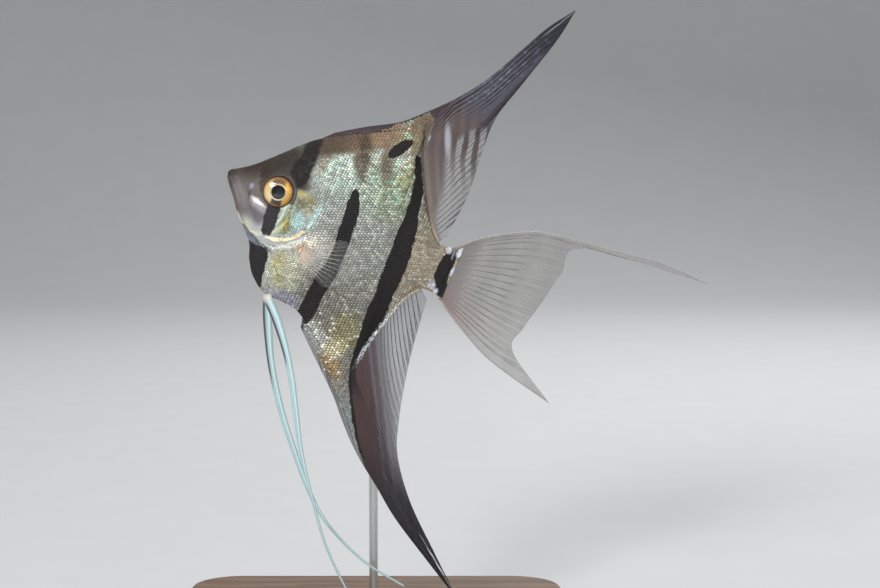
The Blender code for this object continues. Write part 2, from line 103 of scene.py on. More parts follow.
# Curve, depth, width
GROOVES = ((GAPE, 0.42, 0.22), (MAXILLA, 0.16, 0.28), (JAW_HINGE, 0.14, 0.35), (THROAT, 0.10, 0.25))
NOSTRIL = (7.6, -0.9)
NOSTRIL_SLIT = (8.2, -3.0)

# Eye
EYE_OPENING = 4.15  # radius of the visible eye
PUPIL = 1.85
IRIS_RING = 0.45  # width of the bright ring round the pupil

# Scales
SCALE_COLUMN = 0.86  # spacing along the body
SCALE_ROW = 0.74  # spacing across it
SCALE_LENGTH = 1.75  # against the spacing along, so that scales overlap
SCALE_WIDTH = 1.30
SCALE_RIM = 9  # points round one scale
SCALE_THICK = 0.028  # as a share of its length, as the next three are
SCALE_CROWN = 0.024
SCALE_ROOT = 0.06
SCALE_LIFT = 0.085
SCALE_CLEAR = 0.02  # how far its middle stands off the skin
SCALE_TURN = 0.10  # how much each scale is turned at random, in radians
SCALE_PATCH = 0.003  # size of one scale's patch of uv

# Median fins, as in the solids
DORSAL_LEAD = ((22.4, 21.9), (29.3, 26.7), (37.5, 31.8), (42.1, 36.3), (46.1, 40.6), (49.4, 44.6),
               (54.7, 52.4), (59.7, 62.8), (64.1, 71.9), (69.0, 79.1))
DORSAL_TRAIL = ((69.0, 79.1), (67.6, 69.4), (63.8, 54.6), (61.0, 43.5), (61.4, 33.0), (62.6, 21.3),
                (62.0, 8.6))
ANAL_LEAD = ((35.4, -30.6), (41.0, -35.5), (46.3, -40.0), (51.5, -44.6), (56.9, -50.2), (62.7, -55.6),
             (72.2, -62.4), (80.7, -68.5), (93.8, -75.8), (106.4, -82.6))
ANAL_TRAIL = ((106.4, -82.6), (94.6, -72.9), (82.4, -62.4), (74.0, -52.0), (70.4, -42.8), (67.8, -33.0),
              (65.8, -23.0), (64.0, -9.6))
TAIL_TOP = ((65.4, 6.0), (70.6, 11.4), (77.5, 16.2), (85.0, 20.0), (95.0, 22.0), (106.0, 23.6), (119.0, 25.6),
            (133.3, 25.7))
TAIL_BOTTOM = ((66.6, -7.2), (72.4, -11.0), (78.3, -14.1), (84.9, -17.2), (91.9, -19.2), (106.6, -22.2))
TAIL_EDGE = ((133.3, 25.7), (97.5, 20.8), (94.7, 12.0), (93.0, 2.0), (91.4, -6.0), (91.3, -13.0),
             (106.6, -22.2))

# Paired fins
PECTORAL_ROOT = ((26.9, -10.2), (28.0, -13.4))
PECTORAL_TIPS = ((36.0, -3.4), (40.4, -3.4), (43.8, -5.6), (44.5, -8.8), (42.8, -12.5), (39.8, -15.6),
                 (36.6, -17.2))
PELVIC_ROOT = ((22.2, -26.2), (23.6, -26.6))
PELVIC_LEFT = ((28.8, -31.4), (34.4, -37.9), (38.9, -44.2), (43.0, -50.9), (49.0, -60.8), (55.3, -69.3),
               (66.0, -82.4), (78.9, -93.7))
PELVIC_RIGHT = ((26.4, -33.0), (32.0, -43.4), (39.2, -53.6), (46.4, -62.0), (55.4, -71.6), (64.4, -78.5),
                (77.5, -83.9), (91.1, -85.9))
PELVIC_WIDTHS = (2.6, 2.6, 2.1, 1.9, 1.7, 1.3, 0.9, 0.7, 0.6)

# Camera
CAMERA_LENS = 89.5
CAMERA_ELEVATION = math.radians(5.0)
CAMERA_DISTANCE = 0.6
AIM_FROM_EYES = Vector((43.8, 0.0, -28.1)) * MM  # the view's centre from the eyes' midpoint


# ---------------------------------------------------------------- curves

def spline(points, per_span=8):
    """A Catmull-Rom curve through rows of numbers, as an array of denser rows."""
    rows = np.array(points, dtype=float)
    rows = np.vstack((2 * rows[0] - rows[1], rows, 2 * rows[-1] - rows[-2]))
    t = (np.arange(per_span) / per_span)[:, None]
    spans = []
    for a, b, c, d in zip(rows, rows[1:], rows[2:], rows[3:]):
        spans.append(0.5 * (2 * b + (c - a) * t + (2 * a - 5 * b + 4 * c - d) * t ** 2
                            + (3 * b - a - 3 * c + d) * t ** 3))
    return np.vstack((*spans, rows[-2]))


def lengths(path):
    """How far along a path each of its points is."""
    return np.concatenate(([0.0], np.cumsum(np.linalg.norm(np.diff(path, axis=0), axis=1))))


def along(path, share):
    """The points at shares of a path's length, from 0 to 1."""
    reached = lengths(path)
    return np.stack([np.interp(share, reached / reached[-1], column) for column in path.T], axis=-1)


def distance(places, points):
    """How far places (x, z) are from the curve through points, and their side: 1 to the left of its run."""
    path = spline(points)
    best = np.full(len(places), np.inf)
    side = np.zeros(len(places))
    for a, b in zip(path, path[1:]):
        run = b - a
        share = np.clip(((places - a) @ run) / (run @ run), 0, 1)
        off = places - a - share[:, None] * run
        away = np.linalg.norm(off, axis=1)
        turn = np.sign(run[0] * off[:, 1] - run[1] * off[:, 0])
        nearer = away < best
        best = np.where(nearer, away, best)
        side = np.where(nearer, turn, side)
    return best, side


def unit(vectors):
    return vectors / np.linalg.norm(vectors, axis=1, keepdims=True)


def step(value, low, high):
    """0 below low, 1 above high, and a smooth rise between."""
    t = np.clip((value - low) / (high - low), 0, 1)
    return t * t * (3 - 2 * t)


def bell(value, width):
    return np.exp(-(value / width) ** 2)


# ---------------------------------------------------------------- pieces

def fish_pose():
    """The fish's frame: millimetre drawings, in metres, turned head-up about the midpoint of its eyes."""
    corners = [corner for side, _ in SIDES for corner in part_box(f"eye_{side}")]
    middle = sum((Vector(corner) for corner in corners), Vector()) / len(corners)
    turn = Matrix.Rotation(PITCH, 4, "Y")
    return Matrix.Translation(middle) @ turn @ Matrix.Translation((-EYE_AT.x * MM, 0, -EYE_AT.y * MM))


def added(name, data):
    """A new object in the scene."""
    made = bpy.data.objects.new(name, data)
    bpy.context.scene.collection.objects.link(made)
    return made


def at_corners(rows, faces):
    """Rows kept for each point, as rows for each corner of the faces."""
    return np.concatenate([rows[block.ravel()] for block in faces])


def piece(name, points, faces, look, pose, uvs=None, marks=None, replaces=()):
    """A piece drawn in the fish's frame, in mm, and set in its pose: faces as index arrays, uvs by corner."""
    mesh = bpy.data.meshes.new(name)
    sizes = np.concatenate([np.full(len(block), block.shape[1]) for block in faces])
    corners = np.concatenate([block.ravel() for block in faces])
    mesh.vertices.add(len(points))
    turned = points * MM @ np.array(pose.to_3x3()).T + np.array(pose.translation)
    mesh.vertices.foreach_set("co", turned.ravel())
    mesh.loops.add(len(corners))
    mesh.loops.foreach_set("vertex_index", corners)
    mesh.polygons.add(len(sizes))
    mesh.polygons.foreach_set("loop_start", np.concatenate(([0], np.cumsum(sizes)[:-1])))
    for key, values in (marks or {}).items():
        mesh.attributes.new(key, "FLOAT", "POINT").data.foreach_set("value", values.astype(np.float32))
    if uvs is not None:
        mesh.uv_layers.new(name="OFBake").data.foreach_set("uv", uvs.astype(np.float32).ravel())
    mesh.update(calc_edges=True)
    mesh.validate()
    mesh.materials.append(look)
    mesh.shade_smooth()
    made = added(name, mesh)
    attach(made, "root")
    if replaces:
        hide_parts(*replaces)


def grid_faces(rows, columns, first=0, closed=False):
    """Quads over a grid of points kept row by row, joined round the end of each row when closed."""
    across = np.arange(columns if closed else columns - 1)[None]
    a = np.arange(rows - 1)[:, None] * columns + across + first
    right = a + 1
    if closed:
        right = np.where(np.arange(columns) == columns - 1, a - columns + 1, right)
    return np.stack((a, right, right + columns, a + columns), axis=-1).reshape(-1, 4)


def grid_points(rows, columns):
    """Pairs (row's value, column's value) over a grid, row by row."""
    return np.stack(np.broadcast_arrays(rows[:, None], columns[None, :]), axis=-1).reshape(-1, 2)


def end_caps(rings, count, first=0):
    """The two faces that close a tube of rings with count points each."""
    ring = np.arange(count) + first
    return np.stack((ring[::-1], ring + (rings - 1) * count))


# ---------------------------------------------------------------- skin

def relief(places):
    """How far the skin stands out, in mm, at places seen from the side."""
    x, z = places.T
    out = np.zeros(len(places))
    for curve, depth, width in GROOVES:
        away, _ = distance(places, curve)
        out -= depth * bell(away, width)
    gape, _ = distance(places, GAPE)
    out += 0.10 * bell(gape - 0.55, 0.35) * step(z, -10.5, -9.0)  # lips
    fold, side = distance(places, PREOPERCLE)
    out += 0.13 * bell(fold, 0.5) - 0.16 * bell(fold - 0.75, 0.32) * (side < 0)
    edge, side = distance(places, GILL_EDGE)
    inside = edge * side
    lower = 1 - step(z, -9.0, -1.0)
    out += (0.03 + 0.22 * lower) * step(-inside, -0.15, 0.15) * bell(np.maximum(0, -inside), 3.5)
    out -= (0.04 + 0.12 * lower) * bell(inside - 0.35, 0.5)
    pit = np.hypot((x - NOSTRIL[0]) / 0.8, z - NOSTRIL[1])
    out += 0.16 * bell(pit - 0.62, 0.22) - 0.35 * bell(pit, 0.38)
    slit = np.hypot((x - NOSTRIL_SLIT[0]) / 0.35, (z - NOSTRIL_SLIT[1]) / 1.1)
    out -= 0.10 * bell(slit, 0.8)
    eye = np.hypot(x - EYE_AT.x, z - EYE_AT.y) - EYE_OPENING
    out += 0.11 * bell(eye - 0.45, 0.40)  # rim
    out -= 1.9 * step(-eye, -0.12, 0.35)  # socket
    return out


def skin_rings():
    """The skin's stations from snout to tail, each a ring down the left side and up the right."""
    rows = spline([(*back, *belly, *rest) for back, belly, *rest in RIBS], STATIONS_PER_RIB)
    share = (1 - np.cos(np.linspace(0, math.pi, SHARES + 1)))[None] / 2
    back, belly = rows[:, None, 0:2], rows[:, None, 2:4]
    width, widest, back_edge, belly_edge = (rows[:, None, k] for k in range(4, 8))
    rib = belly - back
    inset = SCALE_DEPTH / np.linalg.norm(rib, axis=-1, keepdims=True)
    place = back + rib * (inset + (1 - 2 * inset) * share[..., None])
    skewed = share ** (math.log(0.5) / np.log(widest))
    edge = back_edge + (belly_edge - back_edge) * share
    half = width * np.maximum(0, 4 * skewed * (1 - skewed)) ** edge
    half = np.maximum(0, half - SCALE_DEPTH * step(half, 0, 0.6))
    carved = relief(place.reshape(-1, 2)).reshape(half.shape)
    half = np.maximum(0.25 * half, half + carved * step(half, 0.25, 1.3))
    left, right = (np.stack((place[..., 0], side * half, place[..., 1]), axis=-1) for _, side in SIDES)
    return np.concatenate((left, right[:, -2:0:-1]), axis=1)


def skin_mesh():
    """The skin's points, faces and uvs: one closed loft. Each side fills one half of the unwrap."""
    rings = skin_rings()
    stations, count, _ = rings.shape
    sides = grid_faces(stations, count, closed=True)
    caps = [np.arange(count)[None, ::-1], (np.arange(count) + (stations - 1) * count)[None]]
    column = np.arange(count)
    u = np.where(column <= SHARES, 0.01 + 0.48 * column / SHARES, 0.51 + 0.48 * (column - SHARES) / SHARES)
    v = 0.01 + 0.98 * np.arange(stations) / (stations - 1)
    side_uvs = grid_points(v, u)[sides.ravel()].reshape(-1, 4, 2)[..., ::-1].copy()
    for last, least, moved in ((SHARES, 0.5, 0.51), (count - 1, 0.1, 0.99)):
        at_seam = (sides % count == last).any(axis=1) & (sides % count == (last + 1) % count).any(axis=1)
        side_uvs[at_seam, :, 0] = np.where(side_uvs[at_seam, :, 0] < least, moved, side_uvs[at_seam, :, 0])
    uvs = [side_uvs.reshape(-1, 2), np.full((count, 2), 0.01), np.full((count, 2), 0.99)]
    return rings.reshape(-1, 3), [sides, *caps], np.concatenate(uvs)


# ---------------------------------------------------------------- scales

def scale_shape():
    """One scale, unit long and wide: points (along, across, up), faces, and 1 for each point on its rim."""
    turn = np.arange(SCALE_RIM) * 2 * math.pi / SCALE_RIM
    reach = 0.5 + 0.06 * np.cos(turn) ** 3
    top = np.stack((reach * np.cos(turn), 0.5 * np.sin(turn), np.zeros(SCALE_RIM)), axis=1)
    under = top - (0, 0, SCALE_THICK)
    points = np.vstack(((0.05, 0, SCALE_CROWN), top, under, (0, 0, -SCALE_ROOT)))
    points[:, 2] += SCALE_LIFT * points[:, 0]
    ring = np.arange(SCALE_RIM) + 1
    after = np.roll(ring, -1)
    crown = np.stack((np.zeros(SCALE_RIM, int), ring, after), axis=1)
    rim = np.stack((ring, ring + SCALE_RIM, after + SCALE_RIM, after), axis=1)
    base = np.stack((np.full(SCALE_RIM, 2 * SCALE_RIM + 1), after + SCALE_RIM, ring + SCALE_RIM), axis=1)
    near_rim = np.concatenate(([0], np.ones(2 * SCALE_RIM), [1]))
    return points, (crown, rim, base), near_rim


def body_scale_size(x):
    """The size of the body's scales against the flank's: smaller at the head and the tail."""
    return 0.60 + 0.40 * step(x, 21.0, 30.0) - 0.22 * step(x, 54.0, 62.0)


def tapered(size, drop):
    """The size of a fin's scales at x, smaller by a drop at the rear of its base."""
    return lambda x: size - drop * step(x, 46.0, 62.0)


def on_body(places):
    """Whether the body carries scales at places seen from the side: not the face, nor thin rear edges."""
    x, z = places.T
    eye = np.hypot(x - EYE_AT.x, z - EYE_AT.y) > EYE_OPENING + 1.0
    muzzle = (x + 0.30 * z > 9.8) & ((z > -11.8) | (x > 12.2 - 0.25 * (z + 12.0)))
    lower_face = ~((x < 13.5) & (z < -6.5) & (z > -12.6))
    gill, _ = distance(places, GILL_EDGE)
    ridge, _ = distance(places, PREOPERCLE)
    cheek = (x < 19.4) & (z < 0.5) & (z > -12.0)
    back, _ = distance(places, [row[0] for row in RIBS])
    belly, _ = distance(places, [row[1] for row in RIBS])
    fin_base = (x > 42.0) & (np.minimum(back, belly) < 0.55)
    covers = ((gill > 0.75) | (z > -7.0)) & ((ridge > 0.4) | (z > -1.0))
    return eye & muzzle & lower_face & ~cheek & ~fin_base & covers


def on_dorsal(places):
    """Whether the dorsal fin carries scales at places: along the back, where its front rises from it."""
    x, z = places.T
    away, over = distance(places, [row[0] for row in RIBS])
    reach = 2.0 * bell(x - 42.0, 8.0) * step(z, 26.0, 32.0)
    edge, inside = distance(places, DORSAL_LEAD)
    return (over > 0) & (away < reach) & (inside < 0) & (edge > 0.5)


def on_anal(places):
    """Whether the anal fin carries scales at places: along the belly, and in front of the vent bar."""
    x, z = places.T
    away, over = distance(places, [row[1] for row in RIBS])
    left = np.interp(-z, [-row[0] for row in VENT_BAR], [row[1] for row in VENT_BAR])
    edge, inside = distance(places, ANAL_LEAD)
    front = (x < left + 0.6) & (z > -57.0)
    return (over < 0) & ((away < 0.6) | front) & (inside > 0) & (edge > 0.95)


def on_tail(places):
    """Whether the tail fin carries scales at places: a wedge at its root."""
    x, z = places.T
    return (x > 65.6) & (x < 67.4) & (np.abs(z + 0.6) < x - 59.2)


def scale_rows(surface, side, start, size_at, wanted):
    """Rows for scales over one side of a surface: place, normal, unwrapped place and size of each."""
    points, quads, uvs = surface
    tree = BVHTree.FromPolygons([tuple(p) for p in points], [tuple(quad) for quad in quads])
    quad_uvs = uvs[:len(quads) * 4].reshape(-1, 4, 2).mean(axis=1)
    ray_from, ray_spacing, margin = 20.0, 0.1, 0.3
    found = []
    x, column = start, 0
    while x < points[:, 0].max() - margin:
        size = float(size_at(x))
        hits = []
        for z in np.arange(points[:, 2].min(), points[:, 2].max(), ray_spacing):
            place, normal, quad, _ = tree.ray_cast((x, side * ray_from, float(z)), (0.0, -side, 0.0))
            if place is not None and normal.y * side > 0:
                hits.append((*place, *normal, *quad_uvs[quad]))
        if len(hits) > 1:
            hits = np.array(hits)
            reached = lengths(hits[:, 1:3])
            middle = np.interp(-1.0, hits[:, 2], reached)
            row = SCALE_ROW * size
            first = (middle + (0.5 * row if column % 2 else 0.0)) % row
            for at in np.arange(first, reached[-1], row):
                found.append([*(np.interp(at, reached, hits[:, k]) for k in range(8)), size])
        x += SCALE_COLUMN * size
        column += 1
    found = np.array(found)
    return found[wanted(found[:, [0, 2]])]


def mirrored(rows):
    """The left side's rows of scales as the right side's."""
    other = rows.copy()
    other[:, [1, 4]] *= -1
    other[:, 6] = 1 - other[:, 6]
    return other


def scale_piece(name, rows, look, pose, random):
    """Scales as one mesh, each root's place on the unwrap of what it grows from as its patch of uv."""
    places, normals, unwrap, sizes = rows[:, 0:3], unit(rows[:, 3:6]), rows[:, 6:8], rows[:, 8]
    count = len(rows)
    outer = np.clip((places[:, 2] + 2) / 30, -1, 1) ** 3  # near 1 at the back, -1 at the belly
    lean = SCALE_TURN * random.standard_normal(count) + 0.35 * outer  # towards the tail stalk
    flow = np.stack((np.ones(count), np.zeros(count), -0.6 * lean), axis=1)
    flow = unit(flow - normals * (flow * normals).sum(axis=1, keepdims=True))
    across = np.cross(normals, flow)
    tilt = SCALE_TURN * random.standard_normal((count, 2))
    up = normals + tilt[:, :1] * flow + tilt[:, 1:] * across
    shape, blocks, near_rim = scale_shape()
    length = SCALE_COLUMN * SCALE_LENGTH * sizes * random.uniform(0.94, 1.06, count)
    width = SCALE_ROW * SCALE_WIDTH * sizes * random.uniform(0.95, 1.05, count)
    points = (places + SCALE_CLEAR * normals)[:, None]
    for k, (size, way) in enumerate(((length, flow), (width, across), (length, up))):
        points = points + shape[None, :, k:k + 1] * (size[:, None] * way)[:, None]
    offset = np.arange(count)[:, None, None] * len(shape)
    faces = [(block[None] + offset).reshape(-1, block.shape[1]) for block in blocks]
    point_uvs = (unwrap[:, None] + SCALE_PATCH * shape[None, :, :2]).reshape(-1, 2)
    marks = {
        "tint": np.repeat(random.random(count), len(shape)),
        "hue": np.repeat(random.random(count), len(shape)),
        "rim": np.tile(near_rim, count),
        "along": np.tile(shape[:, 0] + 0.5, count),
    }
    piece(name, points.reshape(-1, 3), faces, look, pose, at_corners(point_uvs, faces), marks)


# ---------------------------------------------------------------- fins
# A fin is a fan of columns from its front edge to its rear. Its marks pin some columns to shares of its root
# and of its tips. Its guides are curves that the columns follow, less and less from a first one to a final
# one, and its bow bends the rays between. Its sway gives y from the share of the way out and the ray's
# length.

WEB_GRIDS = {"dorsal": (145, 56), "anal": (145, 60), "tail": (131, 56)}  # columns, and rows from root to tips
RAY_COLUMNS = {  # columns that are spines, forked rays and branched rays
    "dorsal": (range(13), range(14, 17), range(17, 38)),
    "anal": (range(7), range(8, 13), range(13, 34)),
    "tail": ((0, 22), (), range(2, 21)),
}
RAY_SIDES = 6


def swayed(share):
    """A fin that leans out of the fish's plane by a share of its length at the tips."""
    return lambda v, length: share * v * v * length


def fan_place(fin, column, v):
    """The places (x, y, z) on a column of a fin, at shares v of the way from its root to its tips."""
    columns, roots, tips = zip(*fin["marks"])
    base = along(fin["root"], np.interp(column, columns, roots))
    tip = along(fin["tips"], np.interp(column, columns, tips))
    past = max(0.0, (column - columns[1]) / (columns[-1] - columns[1]))
    ray = tip - base
    length = np.linalg.norm(ray)
    bend = fin.get("bow", 0.0) * 16 * past * (1 - past) * v * (1 - v)
    place = base + v[:, None] * ray + bend[:, None] * np.array((ray[1], -ray[0]))
    for curve, first, final in fin.get("guides", ()):
        away = (column - first) / (final - first)
        if 0 <= away <= 1:
            reach = min(1.0, length / np.linalg.norm(curve[-1] - curve[0]))
            chord = curve[0] + v[:, None] * (along(curve, reach) - curve[0])
            place = place + (1 - away ** 2) * (along(curve, reach * v) - chord)
    ripple = fin.get("ripple", 0.0) * np.sin(2 * math.pi * column / 7.0 + 3 * v) * v * v
    return np.stack((place[:, 0], fin["sway"](v, length) + ripple, place[:, 1]), axis=-1)


def membrane(name, fin, columns, rows, look, pose):
    """The thin web of a fin: a closed sheet over a fan of columns, thicker at its root."""
    v = np.linspace(0, 1, rows) ** 0.9
    last = fin["marks"][-1][0]
    middle = np.stack([fan_place(fin, column, v) for column in np.linspace(0, last, columns)])
    half = 0.5 * (fin["web"] + (fin["root_web"] - fin["web"]) * (1 - v) ** 3)[None, :, None]
    ray, run = middle[columns // 2, -1] - middle[columns // 2, 0], middle[-1, -1] - middle[0, -1]
    facing = math.copysign(1.0, ray[0] * run[2] - ray[2] * run[0])
    offset = half * np.array((0.0, facing, 0.0))
    points = np.concatenate((middle - offset, middle + offset)).reshape(-1, 3)
    count = columns * rows
    near = grid_faces(columns, rows)
    far = near[:, ::-1] + count
    rim = np.concatenate((np.arange(rows), np.arange(2, columns + 1) * rows - 1,
                          (columns - 1) * rows + np.arange(rows - 2, -1, -1),
                          np.arange(columns - 2, 0, -1) * rows))
    after = np.roll(rim, -1)
    faces = [near, far, np.stack((rim, rim + count, after + count, after), axis=1)]
    share = np.linspace(0, 1, columns)
    near_uvs = grid_points(share, v) * (0.47, 0.97) + 0.01
    uvs = at_corners(np.concatenate((near_uvs, near_uvs + (0.5, 0))), faces)
    marks = {"column": np.tile(np.repeat(share * last, rows), 2), "out": np.tile(v, 2 * columns)}
    piece(f"{name}_web", points, faces, look, pose, uvs, marks, (name,))
    return points, np.concatenate((near, far)), uvs


def tubes(name, paths, radii, look, pose):
    """Thin tapering rods along paths (points in mm), joined as one mesh. radii match each path's points."""
    points, walls, caps, uvs, marks = [], [], [], [], []
    first = 0
    share = np.arange(RAY_SIDES) / RAY_SIDES
    turn = (2 * math.pi * share)[None, :, None]
    for index, (path, radius) in enumerate(zip(paths, radii)):
        run = unit(np.gradient(path, axis=0))
        up = unit(np.cross(run, (0.0, 1.0, 0.0)))
        side = np.cross(up, run)
        ring = np.cos(turn) * up[:, None] + np.sin(turn) * side[:, None]
        points.append((path[:, None] + radius[:, None, None] * ring).reshape(-1, 3))
        walls.append(grid_faces(len(path), RAY_SIDES, first, closed=True)[:, ::-1])
        caps.append(end_caps(len(path), RAY_SIDES, first)[:, ::-1])
        v = np.repeat(np.linspace(0, 1, len(path)), RAY_SIDES)
        u = (index + 0.8 * np.tile(share, len(path))) / len(paths)
        uvs.append(0.01 + 0.98 * np.stack((u, v), axis=1))
        marks.append(v)
        first += len(path) * RAY_SIDES
    faces = [np.concatenate(walls), np.concatenate(caps)]
    uvs = at_corners(np.concatenate(uvs), faces)
    marks = {"out": np.concatenate(marks)}
    piece(name, np.concatenate(points), faces, look, pose, uvs, marks)


def ray_paths(fin, rays, points=70):
    """Paths and radii of a fin's rays: spines are plain, soft rays are jointed and fork once or twice."""
    first_fork, second_fork, joint_length = (0.38, 0.95), (0.66, 1.0), 0.8
    paths, radii = [], []
    v = np.linspace(0, 1, points)
    for column, kind in rays:
        straight = fan_place(fin, column, v)
        if kind == "spine":
            paths.append(straight)
            radii.append(fin["ray"] * (1.15 - 0.9 * v))
            continue
        joints = max(4.0, lengths(straight)[-1] / joint_length)
        joint = 1 + 0.10 * np.cos(2 * math.pi * v * joints) * step(v, 0.12, 0.25)
        forks, share = ((-1, 1), 0.85) if kind == "forked" else ((-1.5, -0.5, 0.5, 1.5), 0.7)
        for fork in forks:
            split = step(v, *first_fork) * np.sign(fork) * 0.17 * fin["gap"]
            if kind == "branched":
                split *= 1.1
                split += step(v, *second_fork) * (abs(fork) - 1) * np.sign(fork) * 0.18 * fin["gap"]
            path = [fan_place(fin, column + s, v[k:k + 1])[0] for k, s in enumerate(split)]
            paths.append(np.stack(path))
            radii.append(fin["ray"] * (1.0 - 0.72 * v) * joint * share)
    return paths, radii


def web_fans():
    """The fans of the dorsal, anal and tail fins' webs."""
    rows = spline([(*back, *belly) for back, belly, *_ in RIBS], 2)
    gill, vent, stalk = (2 * rib for rib in (7, 11, 18))  # the first and last ribs that carry a fin
    top, bottom = spline(TAIL_TOP), spline(TAIL_BOTTOM)
    common = {"web": 0.14, "root_web": 0.5, "ripple": 0.12}
    return {
        "dorsal": {
            **common, "root": rows[gill:stalk + 1, 0:2] - (0.0, 0.35), "bow": -0.03, "sway": swayed(0.03),
            "tips": np.vstack((spline(DORSAL_LEAD), spline(DORSAL_TRAIL)[1:])),
            "marks": ((0, 0.0, 0.0), (12, 0.511, 0.22), (36, 1.0, 1.0)),
        },
        "anal": {
            **common, "root": rows[vent:stalk + 1, 2:4] + (0.0, 0.35), "bow": 0.08, "sway": swayed(-0.03),
            "tips": np.vstack((spline(ANAL_LEAD), spline(ANAL_TRAIL)[1:])),
            "marks": ((0, 0.0, 0.0), (12, 0.30, 0.20), (36, 1.0, 1.0)),
        },
        "tail": {
            **common, "root": np.array((top[0], bottom[0])) - (0.8, 0.0), "sway": swayed(0.02),
            "tips": spline(TAIL_EDGE), "guides": ((top, 0, 13), (bottom, 26, 13)),
            "marks": ((0, 0.0, 0.0), (2, 0.04, 0.44), (22, 0.92, 0.83), (26, 1.0, 1.0)),
        },
    }


def ray_fans(webs):
    """The fans of the same fins' rays, which also follow the fins' long front edges."""
    upper, lower = spline(DORSAL_LEAD), spline(ANAL_LEAD)
    top, bottom = (guide[0] for guide in webs["tail"]["guides"])
    above = np.vstack((along(webs["dorsal"]["root"], 0.51), upper[upper[:, 0] > 48.5]))
    below = np.vstack((along(webs["anal"]["root"], 0.33), lower[lower[:, 0] > 55.0]))
    return {
        "dorsal": {
            **webs["dorsal"], "guides": ((above, 13, 34),), "bow": 0.0, "ray": 0.21, "gap": 0.9,
            "marks": ((0, 0.0, 0.004), (12, 0.50, 0.25), (13, 0.52, 0.500), (38, 0.995, 0.985)),
        },
        "anal": {
            **webs["anal"], "guides": ((below, 7, 30),), "bow": 0.02, "ray": 0.21, "gap": 0.9,
            "marks": ((0, 0.0, 0.004), (6, 0.30, 0.22), (7, 0.34, 0.500), (34, 0.995, 0.985)),
        },
        "tail": {
            **webs["tail"], "guides": ((top, 0, 11), (bottom, 22, 11)), "ray": 0.24, "gap": 1.0,
            "marks": ((0, 0.02, 0.004), (3, 0.10, 0.415), (19, 0.90, 0.82), (22, 0.98, 0.992)),
        },
    }


def median_fins(looks, pose, random):
    """Dorsal, anal and tail fin: a web, the scales on its base and its rays each."""
    webs = web_fans()
    surfaces = {}
    for name, fan in webs.items():
        surfaces[name] = membrane(f"{name}_fin", fan, *WEB_GRIDS[name], looks[name], pose)
    for name, size_at, wanted, start in (("dorsal", tapered(0.62, 0.0), on_dorsal, 30.0),
                                         ("anal", tapered(0.72, 0.34), on_anal, 35.0),
                                         ("tail", tapered(0.62, 0.0), on_tail, 64.0)):
        rows = [scale_rows(surfaces[name], side, start, size_at, wanted) for _, side in SIDES]
        scale_piece(f"{name}_fin_scales", np.concatenate(rows), looks["scales"], pose, random)
    for name, fan in ray_fans(webs).items():
        kinds = zip(("spine", "forked", "branched"), RAY_COLUMNS[name])
        rays = [(column, kind) for kind, columns in kinds for column in columns]
        tubes(f"{name}_fin_rays", *ray_paths(fan, rays), looks[f"{name}_ray"], pose)


def pectoral_fins(looks, pose):
    """Clear fans on each flank: almost no web, and fine pale rays."""
    middle = pose.translation.y / MM
    for side_name, side in SIDES:
        name = f"pectoral_fin_{side_name}"
        low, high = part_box(name)
        near, far = sorted(abs(y / MM - middle) for y in (low[1], high[1]))
        start, flare = near + 0.4, far - near - 0.8
        fin = {
            "root": np.array(PECTORAL_ROOT), "tips": spline(PECTORAL_TIPS), "web": 0.10, "root_web": 0.3,
            "marks": ((0, 0.0, 0.0), (6, 0.5, 0.5), (12, 1.0, 1.0)), "ray": 0.15, "gap": 1.0,
            "sway": lambda v, _, side=side, start=start, flare=flare:
                side * (start - 0.9 * (1 - v) ** 4 + flare * np.sin(v * math.pi / 2)),
        }
        membrane(name, fin, 61, 30, looks["pectoral"], pose)
        rays = ray_paths(fin, [(k, "forked") for k in range(1, 12)], 40)
        tubes(f"{name}_rays", *rays, looks["pectoral_ray"], pose)


def pelvic_fins(looks, pose):
    """Two long feelers, each a flat bundle of rays, with a narrow dark web behind its upper part."""
    around, per_span = 24, 16
    turn = np.arange(around) * 2 * math.pi / around
    for (side_name, side), route, spread in zip(SIDES, (PELVIC_LEFT, PELVIC_RIGHT), (4.0, 3.0)):
        path = spline((PELVIC_ROOT[1], *route), per_span)
        path[0] += (-0.2, 0.8)
        widths = spline([(w, 0.0) for w in PELVIC_WIDTHS], per_span)[:, 0] * 0.94
        share = np.linspace(0, 1, len(path))
        run = unit(np.gradient(path, axis=0))
        ridges = 1 + 0.22 * np.cos(6 * turn)
        thick = (0.22 + 0.06 * (1 - share))[:, None] * np.sin(turn) * ridges
        wide = 0.5 * widths[:, None] * np.cos(turn)
        y = side * (0.9 + spread * np.sin(share * math.pi * 0.6))
        points = np.stack((path[:, 0:1] + run[:, 1:2] * wide, y[:, None] + thick,
                           path[:, 1:2] - run[:, 0:1] * wide), axis=-1)
        faces = [grid_faces(len(path), around, closed=True), end_caps(len(path), around)]
        uvs = grid_points(0.01 + 0.98 * share, 0.05 + 0.8 * np.arange(around) / around)[:, ::-1]
        marks = {"out": np.repeat(share, around), "across": np.tile(np.cos(turn), len(path))}
        name = f"pelvic_fin_{side_name}"
        piece(f"{name}_feeler", points.reshape(-1, 3), faces, looks["feeler"], pose, at_corners(uvs, faces),
              marks, (name,))


# ---------------------------------------------------------------- eyes

def lathe(profile, centre, side, segments):
    """Points and faces of a profile (radius, height outwards) turned about a line across the fish."""
    turn = np.arange(segments) * 2 * math.pi / segments
    radius, height = np.array(profile).T[:, :, None]
    x = centre[0] + radius * np.cos(turn)
    z = centre[2] + radius * np.sin(turn)
    y = np.broadcast_to(centre[1] + side * height, x.shape)
    faces = [grid_faces(len(profile), segments, closed=True), end_caps(len(profile), segments)]
    if side < 0:
        faces = [block[:, ::-1] for block in faces]
    return np.stack((x, y, z), axis=-1).reshape(-1, 3), faces


